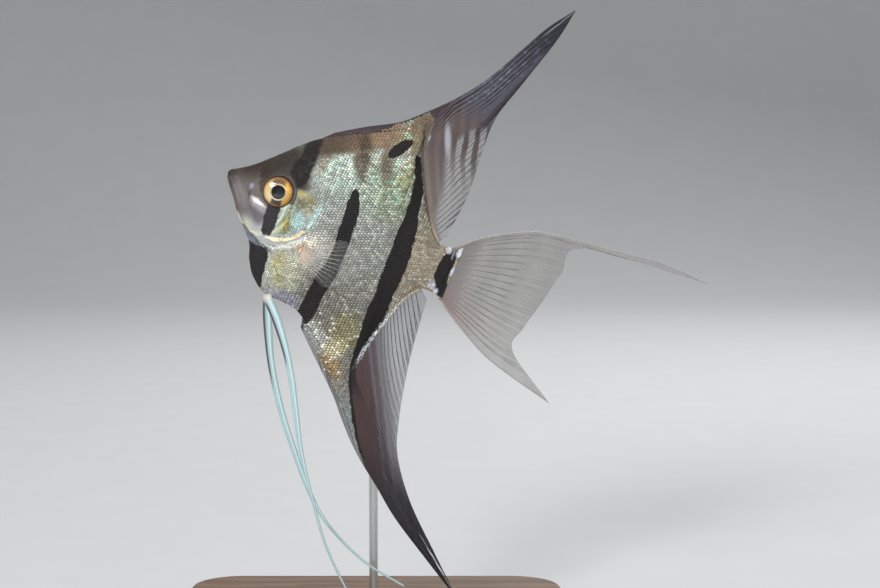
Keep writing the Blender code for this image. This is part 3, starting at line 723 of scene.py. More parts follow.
def eyes(looks, pose):
    """Each eye: an iris dished round a deep pupil, and a clear cornea over it."""
    wall = ((0.02, 0.30), (PUPIL - 0.25, 0.34), (PUPIL - 0.06, 0.62), (PUPIL, 0.92), (PUPIL + 0.12, 1.00))
    dish = [(r, 1.0 - 0.22 * ((r - PUPIL) / (EYE_OPENING - PUPIL)) ** 1.6)
            for r in np.linspace(PUPIL + 0.3, EYE_OPENING + 0.15, 16)]
    iris = (*wall, *dish, (EYE_OPENING + 0.2, -0.9), (0.02, -1.0))
    for side_name, side in SIDES:
        low, high = (np.array(corner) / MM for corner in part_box(f"eye_{side_name}"))
        centre = (EYE_AT.x, (low[1] + high[1]) / 2 - pose.translation.y / MM, EYE_AT.y)
        wide, bulge, _ = (high - low) / 2
        dome = [(r, bulge * 0.97 * math.sqrt(max(0.0, 1 - (r / wide) ** 2)))
                for r in np.linspace(0.02, EYE_OPENING + 0.2, 22)]
        shell = dome + [(r * 0.985, h - 0.12) for r, h in dome[::-1]]
        node = f"eye_{side_name}"
        points, faces = lathe(iris, centre, side, 96)
        piece(f"iris_{side_name}", points, faces, looks["iris"], pose, replaces=(node,))
        points, faces = lathe(shell, centre, side, 64)
        piece(f"cornea_{side_name}", points, faces, looks["cornea"], pose)


# ---------------------------------------------------------------- node graphs

def join(tree, value, socket):
    if isinstance(value, Field):
        tree.links.new(value.socket, socket)
    elif isinstance(value, tuple) and socket.type == "RGBA":
        socket.default_value = (*value, 1.0)
    else:
        socket.default_value = value


def add_node(tree, kind, *values, output=0, settings=None, **inputs):
    """A new node's output. values go to its first inputs in order, and inputs to the sockets they name."""
    node = tree.nodes.new(kind)
    for key, value in (settings or {}).items():
        setattr(node, key, value)
    for value, socket in zip(values, node.inputs):
        join(tree, value, socket)
    for key, value in inputs.items():
        join(tree, value, node.inputs[key.replace("_", " ")])
    return Field(tree, node.outputs[output])


class Field:
    """A node's output, with arithmetic that adds math nodes."""

    def __init__(self, tree, socket):
        self.tree = tree
        self.socket = socket

    def maths(self, operation, *operands):
        return add_node(self.tree, "ShaderNodeMath", *operands, settings={"operation": operation})

    def __add__(self, other):
        return self.maths("ADD", self, other)

    def __radd__(self, other):
        return self.maths("ADD", other, self)

    def __sub__(self, other):
        return self.maths("SUBTRACT", self, other)

    def __rsub__(self, other):
        return self.maths("SUBTRACT", other, self)

    def __mul__(self, other):
        return self.maths("MULTIPLY", self, other)

    def __rmul__(self, other):
        return self.maths("MULTIPLY", other, self)

    def __abs__(self):
        return self.maths("ABSOLUTE", self)

    def times_plus(self, factor, rest):
        return self.maths("MULTIPLY_ADD", self, factor, rest)

    def power(self, other):
        return self.maths("POWER", self, other)

    def sine(self):
        return self.maths("SINE", self)

    def larger(self, other):
        return self.maths("MAXIMUM", self, other)

    def step(self, low, high):
        """0 below low, 1 above high, with a smooth rise (or fall, where low is above high)."""
        settings = {"interpolation_type": "SMOOTHSTEP"}
        return add_node(self.tree, "ShaderNodeMapRange", self, low, high, 0.0, 1.0, settings=settings)

    def curve(self, points):
        """A smooth curve through points (input, output), flat beyond its ends."""
        (x0, x1), (y0, y1) = ((min(p[k] for p in points), max(p[k] for p in points)) for k in (0, 1))
        value = (self - x0) * (1 / (x1 - x0))
        node = self.tree.nodes.new("ShaderNodeFloatCurve")
        line = node.mapping.curves[0]
        rows = sorted(((x - x0) / (x1 - x0), (y - y0) / (y1 - y0)) for x, y in points)
        while len(line.points) < len(rows):
            line.points.new(0.5, 0.5)
        for point, place in zip(line.points, rows):
            point.location = place
        node.mapping.update()
        join(self.tree, value, node.inputs["Value"])
        return Field(self.tree, node.outputs[0]) * (y1 - y0) + y0


class Graph:
    """The nodes of one material or group."""

    def __init__(self, tree):
        self.tree = tree

    def node(self, kind, *values, **inputs):
        return add_node(self.tree, kind, *values, **inputs)

    def outputs(self, node):
        return [Field(self.tree, output) for output in node.outputs]

    def object_place(self):
        """Coordinates in the piece's own frame, in metres."""
        return self.node("ShaderNodeTexCoord", output="Object")

    def split(self, vector):
        """The x, y and z of a vector."""
        return self.outputs(self.node("ShaderNodeSeparateXYZ", vector).socket.node)

    def vector(self, *values):
        return self.node("ShaderNodeCombineXYZ", *values)

    def vectors(self, operation, first, second):
        return self.node("ShaderNodeVectorMath", first, second, settings={"operation": operation})

    def scaled(self, vector, factor):
        """A vector, or a colour's brightness, times a factor."""
        return self.node("ShaderNodeVectorMath", vector, settings={"operation": "SCALE"}, Scale=factor)

    def mark(self, name):
        return self.node("ShaderNodeAttribute", output="Fac", settings={"attribute_name": name})

    def noise(self, vector, scale, detail, rough=0.5, output="Fac"):
        inputs = {"Vector": vector, "Scale": scale, "Detail": detail, "Roughness": rough}
        return self.node("ShaderNodeTexNoise", output=output, **inputs)

    def length(self, u, w):
        return u.times_plus(u, w * w).power(0.5)

    def ellipse(self, x, z, centre, radii, tilt, soft):
        """1 inside an ellipse seen from the side, falling to 0 over a soft share of its radii either way."""
        lean = math.radians(tilt)
        terms = []
        for across, up, radius in ((math.cos(lean), math.sin(lean), radii[0]),
                                   (-math.sin(lean), math.cos(lean), radii[1])):
            start = -(across * centre[0] + up * centre[1]) / radius
            terms.append(x.times_plus(across / radius, z.times_plus(up / radius, start)))
        return self.length(*terms).step(1 + soft, 1 - soft)

    def arc(self, x, z, centre, radius, width, start, end):
        """1 on an arc seen from the side, between two angles in degrees, and 0 beyond its half-width."""
        soft, soft_end = 0.35, 0.12  # shares of the half-width, and radians
        dx, dz = x - centre[0], z - centre[1]
        away = abs(self.length(dx, dz) - radius)
        middle = math.radians((start + end) / 2)
        half = math.radians((end - start) / 2)
        turn = (dx * math.cos(middle) + dz * math.sin(middle)) * (1 / radius)
        inside = turn.step(math.cos(half + soft_end), math.cos(half))
        return away.step(width * (1 + soft), width * (1 - soft)) * inside

    def mix(self, share, below, above):
        node = self.tree.nodes.new("ShaderNodeMix")
        node.data_type = "RGBA"
        for value, socket in zip((share, below, above), (node.inputs[0], node.inputs[6], node.inputs[7])):
            join(self.tree, value, socket)
        return Field(self.tree, node.outputs[2])

    def bump(self, height, strength, distance=0.0002):
        return self.node("ShaderNodeBump", Height=height, Strength=strength, Distance=distance)


class Paint:
    """A colour built up in layers, each laid over the last ones by its share, from 0 to 1."""

    def __init__(self, graph, colour):
        self.graph = graph
        self.colour = colour

    def lay(self, share, tone):
        self.colour = self.graph.mix(share, self.colour, tone)

    def patches(self, x, z, rows):
        for tone, *shape, strength in rows:
            self.lay(self.graph.ellipse(x, z, *shape) * strength, tone)


class Look(Graph):
    """A new material's graph, with constants on the sockets of its Principled shader."""

    def __init__(self, name, **constants):
        self.material = bpy.data.materials.new(name)
        self.material.use_nodes = True
        super().__init__(self.material.node_tree)
        self.surface(**constants)

    def surface(self, **fields):
        """Sets or drives the shader's sockets, and returns the material."""
        shader = self.tree.nodes["Principled BSDF"]
        for key, value in fields.items():
            join(self.tree, value, shader.inputs[key.replace("_", " ")])
        return self.material


# ---------------------------------------------------------------- markings

# Bars: (z, left x, right x) from top to bottom
SHOULDER_BAR = ((10.6, 33.7, 34.4), (8.1, 33.4, 36.2), (3.6, 33.9, 37.6), (-1.3, 34.2, 38.1),
                (-6.2, 34.9, 38.6), (-11.4, 34.6, 38.6), (-15.0, 33.8, 38.4), (-19.5, 33.3, 37.7),
                (-24.6, 33.0, 37.6), (-29.4, 32.5, 36.1))
VENT_BAR = ((25.4, 45.0, 47.0), (19.5, 47.3, 49.9), (16.0, 48.3, 51.5), (12.6, 48.8, 52.1), (5.8, 49.0, 53.9),
            (-1.4, 49.5, 55.1), (-6.4, 49.6, 55.3), (-14.2, 50.3, 55.2), (-19.2, 50.3, 55.4),
            (-24.9, 50.8, 54.3), (-30.4, 51.4, 53.7), (-35.3, 52.1, 54.2), (-43.1, 55.7, 60.9),
            (-54.0, 62.7, 70.8), (-64.1, 72.8, 81.6), (-71.1, 83.1, 91.0), (-76.4, 91.3, 99.2),
            (-80.2, 98.2, 104.8))
NAPE_BAR = ((19.0, 16.2, 20.6), (17.5, 16.2, 20.6), (13.5, 16.8, 21.2), (9.6, 15.8, 21.2), (7.6, 15.8, 21.5),
            (5.8, 17.6, 21.0), (4.0, 19.0, 20.2))
EYE_BAR = ((-2.2, 14.0, 17.5), (-5.5, 14.1, 17.9), (-8.0, 14.5, 18.0), (-10.9, 15.2, 17.6))
CHEST_BAR = ((-14.4, 12.0, 18.6), (-16.0, 12.0, 19.6), (-18.5, 12.0, 19.8), (-22.6, 12.0, 20.5),
             (-25.6, 14.0, 21.2))
TAIL_BAR = ((6.4, 64.2, 66.6), (3.0, 63.4, 66.8), (-0.8, 63.0, 66.9), (-4.2, 64.0, 67.4), (-7.4, 65.5, 68.2))

# Rear edges of the back and the belly: (z, x)
BACK_EDGE = ((38.0, 43.4), (35.4, 44.2), (30.0, 45.6), (23.9, 48.4), (16.9, 52.2), (10.6, 56.3), (6.6, 60.4))
BELLY_EDGE = ((-11.6, 58.1), (-18.9, 55.9), (-27.5, 54.0), (-35.6, 52.9), (-41.0, 50.6))

BLACK = (0.008, 0.006, 0.008)
BACK_SPOT = ((40.6, 25.4), (4.0, 1.6), 56, 0.22)  # centre, radii, tilt, softness

# Patches of colour over the silver, painted in this order: colour, centre, radii, tilt in degrees, softness
# and strength
FLANK = (
    ((0.41, 0.345, 0.27), (60.5, -1.0), (6.0, 11.0), 0, 0.5, 0.9),  # tail stalk
    ((0.47, 0.43, 0.34), (57.0, -15.0), (3.4, 7.0), 14, 0.5, 0.9),
    ((0.40, 0.47, 0.42), (27.6, 12.2), (8.4, 5.2), -28, 0.45, 1.0),  # turquoise shoulder
    ((0.27, 0.32, 0.23), (42.6, 13.6), (9.0, 7.0), -20, 0.5, 1.0),  # green flank
    ((0.33, 0.40, 0.36), (36.4, 8.5), (4.0, 8.0), 10, 0.5, 0.6),
    ((0.27, 0.22, 0.12), (40.6, 27.6), (5.2, 3.4), 32, 0.45, 0.9),  # golden back
    ((0.33, 0.32, 0.16), (46.2, 19.4), (3.0, 4.2), 0, 0.5, 0.7),
    ((0.20, 0.14, 0.085), (43.6, 33.8), (4.6, 3.4), 45, 0.5, 0.95),  # brown where the dorsal fin begins
    ((0.24, 0.18, 0.15), (22.8, 14.0), (1.5, 4.0), 10, 0.5, 0.75),  # brown behind the nape bar
    ((0.145, 0.102, 0.078), (32.5, 17.4), (1.7, 5.4), 24, 0.55, 0.9),  # brown above the shoulder bar
    ((0.15, 0.115, 0.078), (39.0, 20.0), (1.6, 5.0), 24, 0.55, 0.9),  # brown under the back spot
    ((0.22, 0.175, 0.10), (44.4, 29.2), (1.9, 5.4), 14, 0.5, 0.85),
)
FACE = (
    ((0.105, 0.088, 0.078), (6.4, -0.6), (11.6, 8.4), 40, 0.30, 1.0),  # dusky face
    ((0.040, 0.030, 0.024), (10.2, 7.6), (11.0, 3.4), 46, 0.45, 1.0),  # forehead
    ((0.165, 0.155, 0.16), (6.2, -4.2), (4.0, 1.6), -48, 0.5, 0.85),  # upper jaw
    ((0.030, 0.025, 0.022), (1.1, 0.6), (1.9, 1.0), 20, 0.5, 0.95),  # upper lip
    ((0.26, 0.24, 0.40), (7.7, -0.4), (0.7, 0.9), 0, 0.5, 0.9),  # painted highlight on the nostril, lilac
    # painted shade in the nostril slit below it
    ((0.030, 0.026, 0.030), (8.2, -2.8), (0.35, 1.4), 14, 0.5, 0.8),
    ((0.095, 0.090, 0.112), (12.6, -6.4), (2.4, 3.0), 20, 0.45, 0.9),  # silver cheek
    ((0.30, 0.29, 0.31), (11.6, -4.2), (2.6, 1.3), -18, 0.6, 0.9),
    ((0.98, 0.96, 0.94), (11.2, -3.5), (1.7, 0.48), -14, 0.9, 1.0),  # pale bone before the eye
    ((0.46, 0.44, 0.33), (11.2, -10.8), (1.7, 0.62), -46, 0.5, 0.95),  # edge of the jaw
    ((0.060, 0.045, 0.034), (9.0, -11.0), (3.2, 0.8), -44, 0.5, 0.9),
    ((0.080, 0.050, 0.032), (31.7, 22.0), (1.8, 4.4), 29, 0.6, 0.9),  # faded top of the shoulder bar
    ((0.040, 0.031, 0.028), (15.6, 8.6), (3.0, 3.6), 0, 0.5, 0.85),  # dark above and behind the eye
    ((0.060, 0.045, 0.040), (19.9, 5.6), (2.5, 1.9), 0, 0.5, 0.9),
    ((0.32, 0.31, 0.18), (23.4, 1.0), (2.6, 2.6), 0, 0.5, 0.8),  # golden speckle behind the eye
    ((0.19, 0.155, 0.10), (21.9, 0.9), (1.3, 1.9), -10, 0.6, 0.8),
    ((0.58, 0.50, 0.19), (21.4, 3.4), (1.5, 0.9), 15, 0.6, 0.9),
    ((0.42, 0.36, 0.15), (24.2, 2.8), (1.1, 0.8), 15, 0.6, 0.8),
    ((0.24, 0.29, 0.23), (20.4, -5.0), (2.8, 4.6), -10, 0.45, 0.9),  # cheek
    ((0.25, 0.22, 0.085), (20.8, -5.8), (1.3, 2.0), -10, 0.45, 0.95),  # olive spot
    ((0.42, 0.62, 0.63), (23.3, -3.8), (1.7, 2.6), 0, 0.45, 0.95),  # blue cheek
    ((0.44, 0.52, 0.48), (22.2, -8.2), (2.4, 0.55), 35, 0.45, 0.9),
    ((0.60, 0.84, 0.86), (26.8, -1.4), (0.75, 3.8), -6, 0.5, 0.9),
    ((0.54, 0.53, 0.40), (25.2, -18.0), (4.6, 6.2), 20, 0.45, 0.9),  # yellowish chest
    ((0.44, 0.40, 0.15), (22.8, -16.4), (1.6, 2.4), 0, 0.6, 0.7),
    ((0.40, 0.37, 0.16), (24.4, -20.6), (1.2, 1.7), 0, 0.6, 0.6),
    ((0.80, 0.78, 0.70), (30.0, -9.6), (3.4, 4.8), -20, 0.7, 0.85),  # pale base of the pectoral fin
    ((1.0, 0.93, 0.78), (28.9, -8.0), (1.3, 1.5), -20, 0.6, 0.95),
    ((0.86, 0.76, 0.62), (28.6, -12.6), (1.5, 1.3), -35, 0.6, 0.95),
    ((0.70, 0.48, 0.34), (26.9, -9.9), (1.8, 1.5), -20, 0.5, 0.95),
    ((0.31, 0.30, 0.40), (28.4, -25.0), (5.2, 2.2), 0, 0.5, 0.85),  # violet belly
    ((0.235, 0.205, 0.10), (47.2, -26.4), (4.4, 5.4), 20, 0.5, 0.85),  # yellow by the anal fin
    ((0.40, 0.41, 0.40), (41.6, -31.6), (5.6, 1.9), -42, 0.5, 0.9),  # silver edge of the belly
    ((0.32, 0.21, 0.095), (47.2, -37.6), (3.0, 5.0), 35, 0.5, 0.9),  # orange corner
    ((0.58, 0.53, 0.32), (46.0, -32.0), (3.0, 2.2), 35, 0.6, 0.75),
    ((0.24, 0.27, 0.27), (56.6, -48.6), (7.0, 3.0), -46, 0.5, 0.95),  # sheath at the front of the anal fin
)
# Lines along the edges of the jaw and the gill cover: colour, centre, radius, half-width, the angles where
# they start and end, and strength
LINES = (
    ((0.52, 0.55, 0.42), (9.8, -3.6), 8.95, 0.30, -44, 24, 0.85),  # pale edge behind the eye bar
    ((0.42, 0.42, 0.14), (9.8, -3.6), 10.6, 0.26, -30, 6, 0.8),
    ((0.44, 0.46, 0.50), (16.4, -7.2), 5.0, 0.34, -116, -62, 0.75),  # front edge of the gill cover, below
    ((1.0, 0.86, 0.60), (17.2, -1.9), 9.3, 0.50, -86, -24, 1.0),  # golden line along its lower edge
    ((0.80, 0.80, 0.75), (17.2, -1.9), 10.9, 0.80, -64, -34, 0.95),  # its pale rear edge
    ((0.66, 0.68, 0.64), (17.2, -1.9), 11.6, 0.50, -80, -70, 0.8),
    ((0.12, 0.15, 0.20), (17.0, -2.0), 12.0, 0.90, -122, -88, 0.9),  # throat
    ((0.62, 0.59, 0.48), (13.6, -3.4), 8.3, 0.24, -138, -84, 0.85),  # pale rim of the jaw
    ((0.055, 0.055, 0.070), (17.0, -2.0), 11.2, 0.30, -124, -100, 0.8),
)
# Places that aren't silvery, beside the back and its rear edge: centre, radii, tilt, softness and strength
DULL = (
    ((11.4, 8.8), (12.5, 5.2), 46, 0.4, 1.0),  # forehead
    ((45.4, 35.0), (5.0, 3.6), 45, 0.4, 1.0),  # root of the dorsal fin
    ((19.9, 5.6), (3.0, 2.4), 0, 0.4, 1.0),  # behind the eye
    ((44.4, 29.2), (2.0, 5.4), 14, 0.4, 0.8),
    ((32.5, 17.4), (1.9, 5.4), 24, 0.5, 0.75),  # above the shoulder bar
    ((39.0, 20.0), (1.9, 5.4), 24, 0.5, 0.75),  # under the back spot
)
# White spots: centre, radii and tilt. A row of dots runs along the tail stalk, the rest are by the tail bar.
SPOTS = (
    *(((56.0 + 1.3 * k, -6.6 + 0.5 * k), (0.36, 0.22), 20) for k in range(6)),
    ((64.0, 5.3), (0.8, 0.9), 0),
    ((66.9, 5.6), (0.7, 1.1), 0),
    ((67.3, 0.4), (0.5, 1.2), 0),
    ((63.6, -5.4), (0.9, 1.0), 0),
    ((65.2, -6.4), (0.6, 0.8), 0),
)


def bar(x, z, rows, soft=0.35):
    """1 between a bar's left and right edges, from its top to its bottom."""
    fade = 0.8
    left = z.curve([(row[0], row[1]) for row in rows])
    right = z.curve([(row[0], row[2]) for row in rows])
    inside = (x - left).step(-soft, soft) * (right - x).step(-soft, soft)
    top, bottom = rows[0][0], rows[-1][0]
    return inside * z.step(top + fade, top - fade) * z.step(bottom - fade, bottom + fade)


def ground_colour(graph, x, z):
    """The silver body with its patches, the brown back, the face and its lines, and where the back is."""
    paint = Paint(graph, graph.mix(z.step(-24.0, 0.0), (0.205, 0.195, 0.180), (0.34, 0.35, 0.325)))
    paint.lay(x.step(34.0, 26.0) * z.step(8.0, 0.0) * 0.7, (0.42, 0.45, 0.43))
    paint.lay((x + 0.12 * z).step(52.0, 56.0), (0.34, 0.29, 0.215))
    paint.patches(x, z, FLANK)
    depth = x * 0.60 + 7.4 - z  # below the back
    strip = depth.step(7.6, 4.4) * x.step(17.0, 20.0) * x.step(41.0, 37.0)
    brown = graph.mix(x.step(24.0, 35.0), (0.105, 0.068, 0.042), (0.285, 0.195, 0.122))
    paint.lay(strip * 0.96, brown)
    paint.patches(x, z, FACE)
    for tone, *line, strength in LINES:
        paint.lay(graph.arc(x, z, *line) * strength, tone)
    return paint, strip


def black_bars(graph, x, z, place):
    """1 in the black bars and the back spot, with ragged edges."""
    black = bar(x, z, SHOULDER_BAR)
    for rows, soft in ((VENT_BAR, 0.35), (EYE_BAR, 0.8), (CHEST_BAR, 0.6), (TAIL_BAR, 0.35)):
        black = black.larger(bar(x, z, rows, soft))
    black = black.larger(graph.ellipse(x, z, *BACK_SPOT))
    ragged = graph.noise(place, 1.7, 2.0)
    return (black + (ragged - 0.5) * 0.5).step(0.30, 0.70)


def white_spots(graph, x, z, px, pz, place):
    """1 in the spots and in the dashes along the belly's rear edge."""
    edge = abs(x - z.curve(BELLY_EDGE))
    dashes = graph.noise(place, 1.9, 2.0).step(0.42, 0.56)
    white = edge.step(0.75, 0.2) * z.step(-36.0, -30.0) * z.step(-12.0, -15.0) * dashes
    for spot in SPOTS:
        white = white.larger(graph.ellipse(px, pz, *spot, 0.5))
    return white


def markings(pose):
    """The group that gives the fish's colour, how silvery and how black it is, and the place in its frame."""
    tree = bpy.data.node_groups.new("markings", "ShaderNodeTree")
    for name, kind in (("Colour", "Color"), ("Silver", "Float"), ("Dark", "Float"), ("Place", "Vector")):
        tree.interface.new_socket(name, in_out="OUTPUT", socket_type=f"NodeSocket{kind}")
    graph = Graph(tree)
    place = graph.node("ShaderNodeMapping", settings={"vector_type": "TEXTURE"}, Vector=graph.object_place(),
                       Location=tuple(pose.translation), Rotation=(0.0, PITCH, 0.0), Scale=(MM, MM, MM))
    wobble = graph.vectors("SUBTRACT", graph.noise(place, 0.45, 3.0, output="Color"), (0.5, 0.5, 0.5))
    x, _, z = graph.split(graph.vectors("ADD", place, graph.scaled(wobble, 1.3)))
    px, _, pz = graph.split(place)

    paint, strip = ground_colour(graph, x, z)
    mottle = graph.noise(place, 1.1, 3.0).step(0.46, 0.66)
    nape = bar(x, z, NAPE_BAR, 0.6)
    paint.lay(nape * (1.0 - 0.12 * mottle), (0.012, 0.008, 0.009))
    black = black_bars(graph, x, z, place)
    paint.lay(black * 0.985, BLACK)
    # painted glints: bluish specks in the black of the bars on the head
    gleam = graph.noise(place, 1.5, 3.0).step(0.52, 0.70) * black * x.step(22.0, 18.0)
    paint.lay(gleam * 0.5, (0.050, 0.056, 0.072))
    rim = graph.arc(px, pz, EYE_AT, EYE_OPENING + 0.35, 0.75, -20, 200)
    paint.lay(rim * 0.85, (0.035, 0.026, 0.022))
    rear = abs(x - z.curve(BACK_EDGE)).step(1.3, 0.4) * z.step(6.0, 14.0) * z.step(38.0, 33.0)
    paint.lay(rear * 0.8, (0.115, 0.086, 0.074))
    paint.lay(white_spots(graph, x, z, px, pz, place) * 0.9, (0.78, 0.82, 0.92))

    dull = strip.larger(rear)
    for *shape, strength in DULL:
        dull = dull.larger(graph.ellipse(x, z, *shape) * strength)
    silver = (1.0 - black) * (1.0 - dull * 0.92) * (1.0 - nape) * (x + 0.3 * z).step(8.0, 14.0)
    output = tree.nodes.new("NodeGroupOutput")
    for field, socket in zip((paint.colour, silver, black, place), output.inputs):
        join(tree, field, socket)
    return tree


def marked(graph, group):
    """The fish's colour, silver, black and place in a material's graph."""
    node = graph.tree.nodes.new("ShaderNodeGroup")
    node.node_tree = group
    return graph.outputs(node)


# ---------------------------------------------------------------- materials

def skin_look(group):
    look = Look("skin", IOR=1.36)
    colour, silver, black, place = marked(look, group)
    grain = look.noise(place, 2.4, 3.0)
    fine = look.noise(place, 9.0, 2.0)
    return look.surface(Base_Color=look.scaled(colour, 0.82 + grain * 0.34), Metallic=silver * 0.25,
                        Roughness=0.50 - silver * 0.08 + black * 0.10,
                        Normal=look.bump(grain + fine * 0.5, 0.35))


def scale_look(group):
    """Each scale its own tint, with painted glints: silver, green, gold and white on the flank, plain and
    dark in the bars, and painted shade along each scale's rim.
    """
    look = Look("scales", IOR=1.36)
    colour, silver, black, place = marked(look, group)
    x, _, z = look.split(place)
    tint, hue, rim, forward = (look.mark(name) for name in ("tint", "hue", "rim", "along"))
    # painted glints: random scales drawn brighter, more so on the upper flank
    glint = tint.power(2.2) * silver
    high = (z - x * 0.05).step(2.0, 12.0) * x.step(20.0, 25.0) * silver
    paint = Paint(look, look.scaled(colour, 0.76 + tint * 0.22 + glint * (0.34 + high * 0.80)))
    paint.lay(hue.step(0.62, 0.95) * silver * (0.12 + high * 0.40), (0.52, 0.80, 0.66))  # painted green glints
    paint.lay(hue.step(0.30, 0.05) * silver * (0.10 + high * 0.16), (0.86, 0.78, 0.46))  # painted gold glints
    # painted white glints on random scales, strongest in the low corner by the anal fin
    low = look.ellipse(x, z, (45.0, -32.0), (8.0, 9.0), 0, 0.5)
    paint.lay(tint.step(0.84, 0.98) * silver * (0.18 + low * 0.62), (0.92, 0.90, 0.82))
    # painted shade along the rear rim of each scale
    paint.lay(rim * forward.step(0.45, 0.95) * 0.15, (0.11, 0.10, 0.085))
    return look.surface(Base_Color=paint.colour, Metallic=silver * 0.42,
                        Roughness=0.44 - silver * 0.14 + tint * 0.08 + black * 0.12,
                        Normal=look.bump(look.noise(place, 6.0, 2.0), 0.30))


def iris_look(group):
    """Black pupil, pale ring, and gold iris, warmer towards the tail and dark over and below the pupil."""
    look = Look("iris", IOR=1.36)
    *_, place = marked(look, group)
    x, _, z = look.split(place)
    dx, dz = x - EYE_AT.x, z - EYE_AT.y
    radius = look.length(dx, dz)
    turn = dz.maths("ARCTAN2", dz, dx)
    streak = look.noise(look.vector(turn * 5.0, radius * 0.55), 3.4, 3.0, 0.6)
    gold, orange = (0.64, 0.46, 0.19), (1.0, 0.56, 0.07)
    paint = Paint(look, look.mix((dx * 0.5 + dz * 0.1).step(-1.0, 1.0), gold, orange))
    paint.lay((dx * -0.8 + dz * 0.6).step(3.4, 1.4) * dx.step(0.6, -1.0) * 0.35, (0.66, 0.60, 0.44))
    paint.lay(streak.step(0.45, 0.70) * 0.45, (0.50, 0.20, 0.03))
    paint.lay(dz.step(0.9, 2.5) * abs(dx + 0.8).step(2.7, 1.1) * 0.92, (0.10, 0.040, 0.022))
    below = dz.step(-1.2, -2.0) * abs(dx + dz * 0.08 - 0.25).step(1.75, 1.15)
    paint.lay(below * 0.97, (0.03, 0.02, 0.026))
    paint.lay(radius.step(3.2, 3.7) * 0.6, (0.42, 0.18, 0.035))
    paint.lay(radius.step(3.7, 4.1) * 0.95, (0.040, 0.020, 0.012))
    ring = abs(radius - PUPIL - IRIS_RING / 2 - 0.02).step(IRIS_RING * 0.62, IRIS_RING * 0.36)
    paint.lay(ring * 0.92, (0.62, 0.52, 0.36))
    inside = radius.step(PUPIL + 0.08, PUPIL - 0.02)
    paint.lay(inside, (0.004, 0.004, 0.006))
    return look.surface(Base_Color=paint.colour, Metallic=(1.0 - inside) * 0.30,
                        Roughness=0.34 + inside * 0.2, Normal=look.bump(streak, 0.4, 0.0003))


def cornea_look():
    """Clear, with a polished surface."""
    made = bpy.data.materials.new("cornea")
    made.use_nodes = True
    graph = Graph(made.node_tree)
    graph.tree.nodes.remove(graph.tree.nodes["Principled BSDF"])
    clear = graph.node("ShaderNodeBsdfTransparent", Color=(0.97, 0.98, 0.98))
    gloss = graph.node("ShaderNodeBsdfGlossy", Color=(1.0, 1.0, 1.0), Roughness=0.03)
    both = graph.node("ShaderNodeMixShader", graph.node("ShaderNodeFresnel", IOR=1.38), clear, gloss)
    join(graph.tree, both, graph.tree.nodes["Material Output"].inputs["Surface"])
    return made


def fin_fields(graph, group):
    """What the fins' tones are drawn from."""
    body, _, black, place = marked(graph, group)
    x, _, z = graph.split(place)
    return SimpleNamespace(body=body, black=black, place=place, x=x, z=z,
                           patchy=graph.noise(place, 0.55, 3.0),
                           column=graph.mark("column"), out=graph.mark("out"))


def dorsal_tone(graph, at):
    """Mauve and solid in front and at the tip, striped behind, clear between the stripes."""
    x, z = at.x, at.z
    behind = (x - z.curve(BACK_EDGE)) * 0.88  # behind the rear edge of the back
    zone = z.curve(((7.0, 0.3), (12.0, 1.2), (20.0, 4.2), (30.0, 6.2), (40.0, 14.0)))
    solid = (behind - zone).step(1.4, -0.6)
    waves = (behind * 2.3 + (at.patchy - 0.5) * 2.5).sine()
    stripes = waves.step(0.4, -0.5) * z.step(18.0, 34.0)
    rise = z + x * 0.3
    blade = rise.step(54.0, 63.0)
    mauve = Paint(graph, graph.mix(z.step(14.0, 34.0), (0.125, 0.102, 0.094), (0.075, 0.054, 0.055)))
    mauve.lay(waves.step(-0.5, 0.7) * 0.45, graph.scaled(mauve.colour, 1.7))
    paint = Paint(graph, graph.mix(solid.larger(stripes), (0.30, 0.295, 0.30), mauve.colour))
    pearl = graph.ellipse(x, z, (51.6, 32.4), (0.8, 4.6), 25, 0.6)
    paint.lay(pearl * 0.8, (0.38, 0.40, 0.46))
    paint.lay(blade, (0.066, 0.064, 0.092))
    paint.lay(rise.step(74.0, 90.0), (0.018, 0.021, 0.032))
    # painted bluish glints over the middle of the blade
    glints = graph.noise(at.place, 0.7, 3.0).step(0.48, 0.72)
    paint.lay(glints * graph.ellipse(x, z, (58.6, 57.0), (3.4, 13.0), -27, 0.6) * 0.75, (0.17, 0.21, 0.28))
    lead = at.column.step(13.5, 11.0)
    paint.lay(lead * 0.9, (0.030, 0.018, 0.026))
    paint.lay(at.out.step(0.16, 0.04) * behind.step(0.7, 0.0) * x.step(36.0, 40.0), at.body)
    dense = 0.40 + solid.larger(stripes * 0.8).larger(pearl * 0.8) * 0.54
    dense = dense.larger(lead * 0.97).larger(blade * 0.95)
    slit = graph.ellipse(x, z, (66.4, 74.0), (6.2, 0.22), 61.5, 0.5)
    return paint.colour, dense * (1.0 - slit * 0.9)


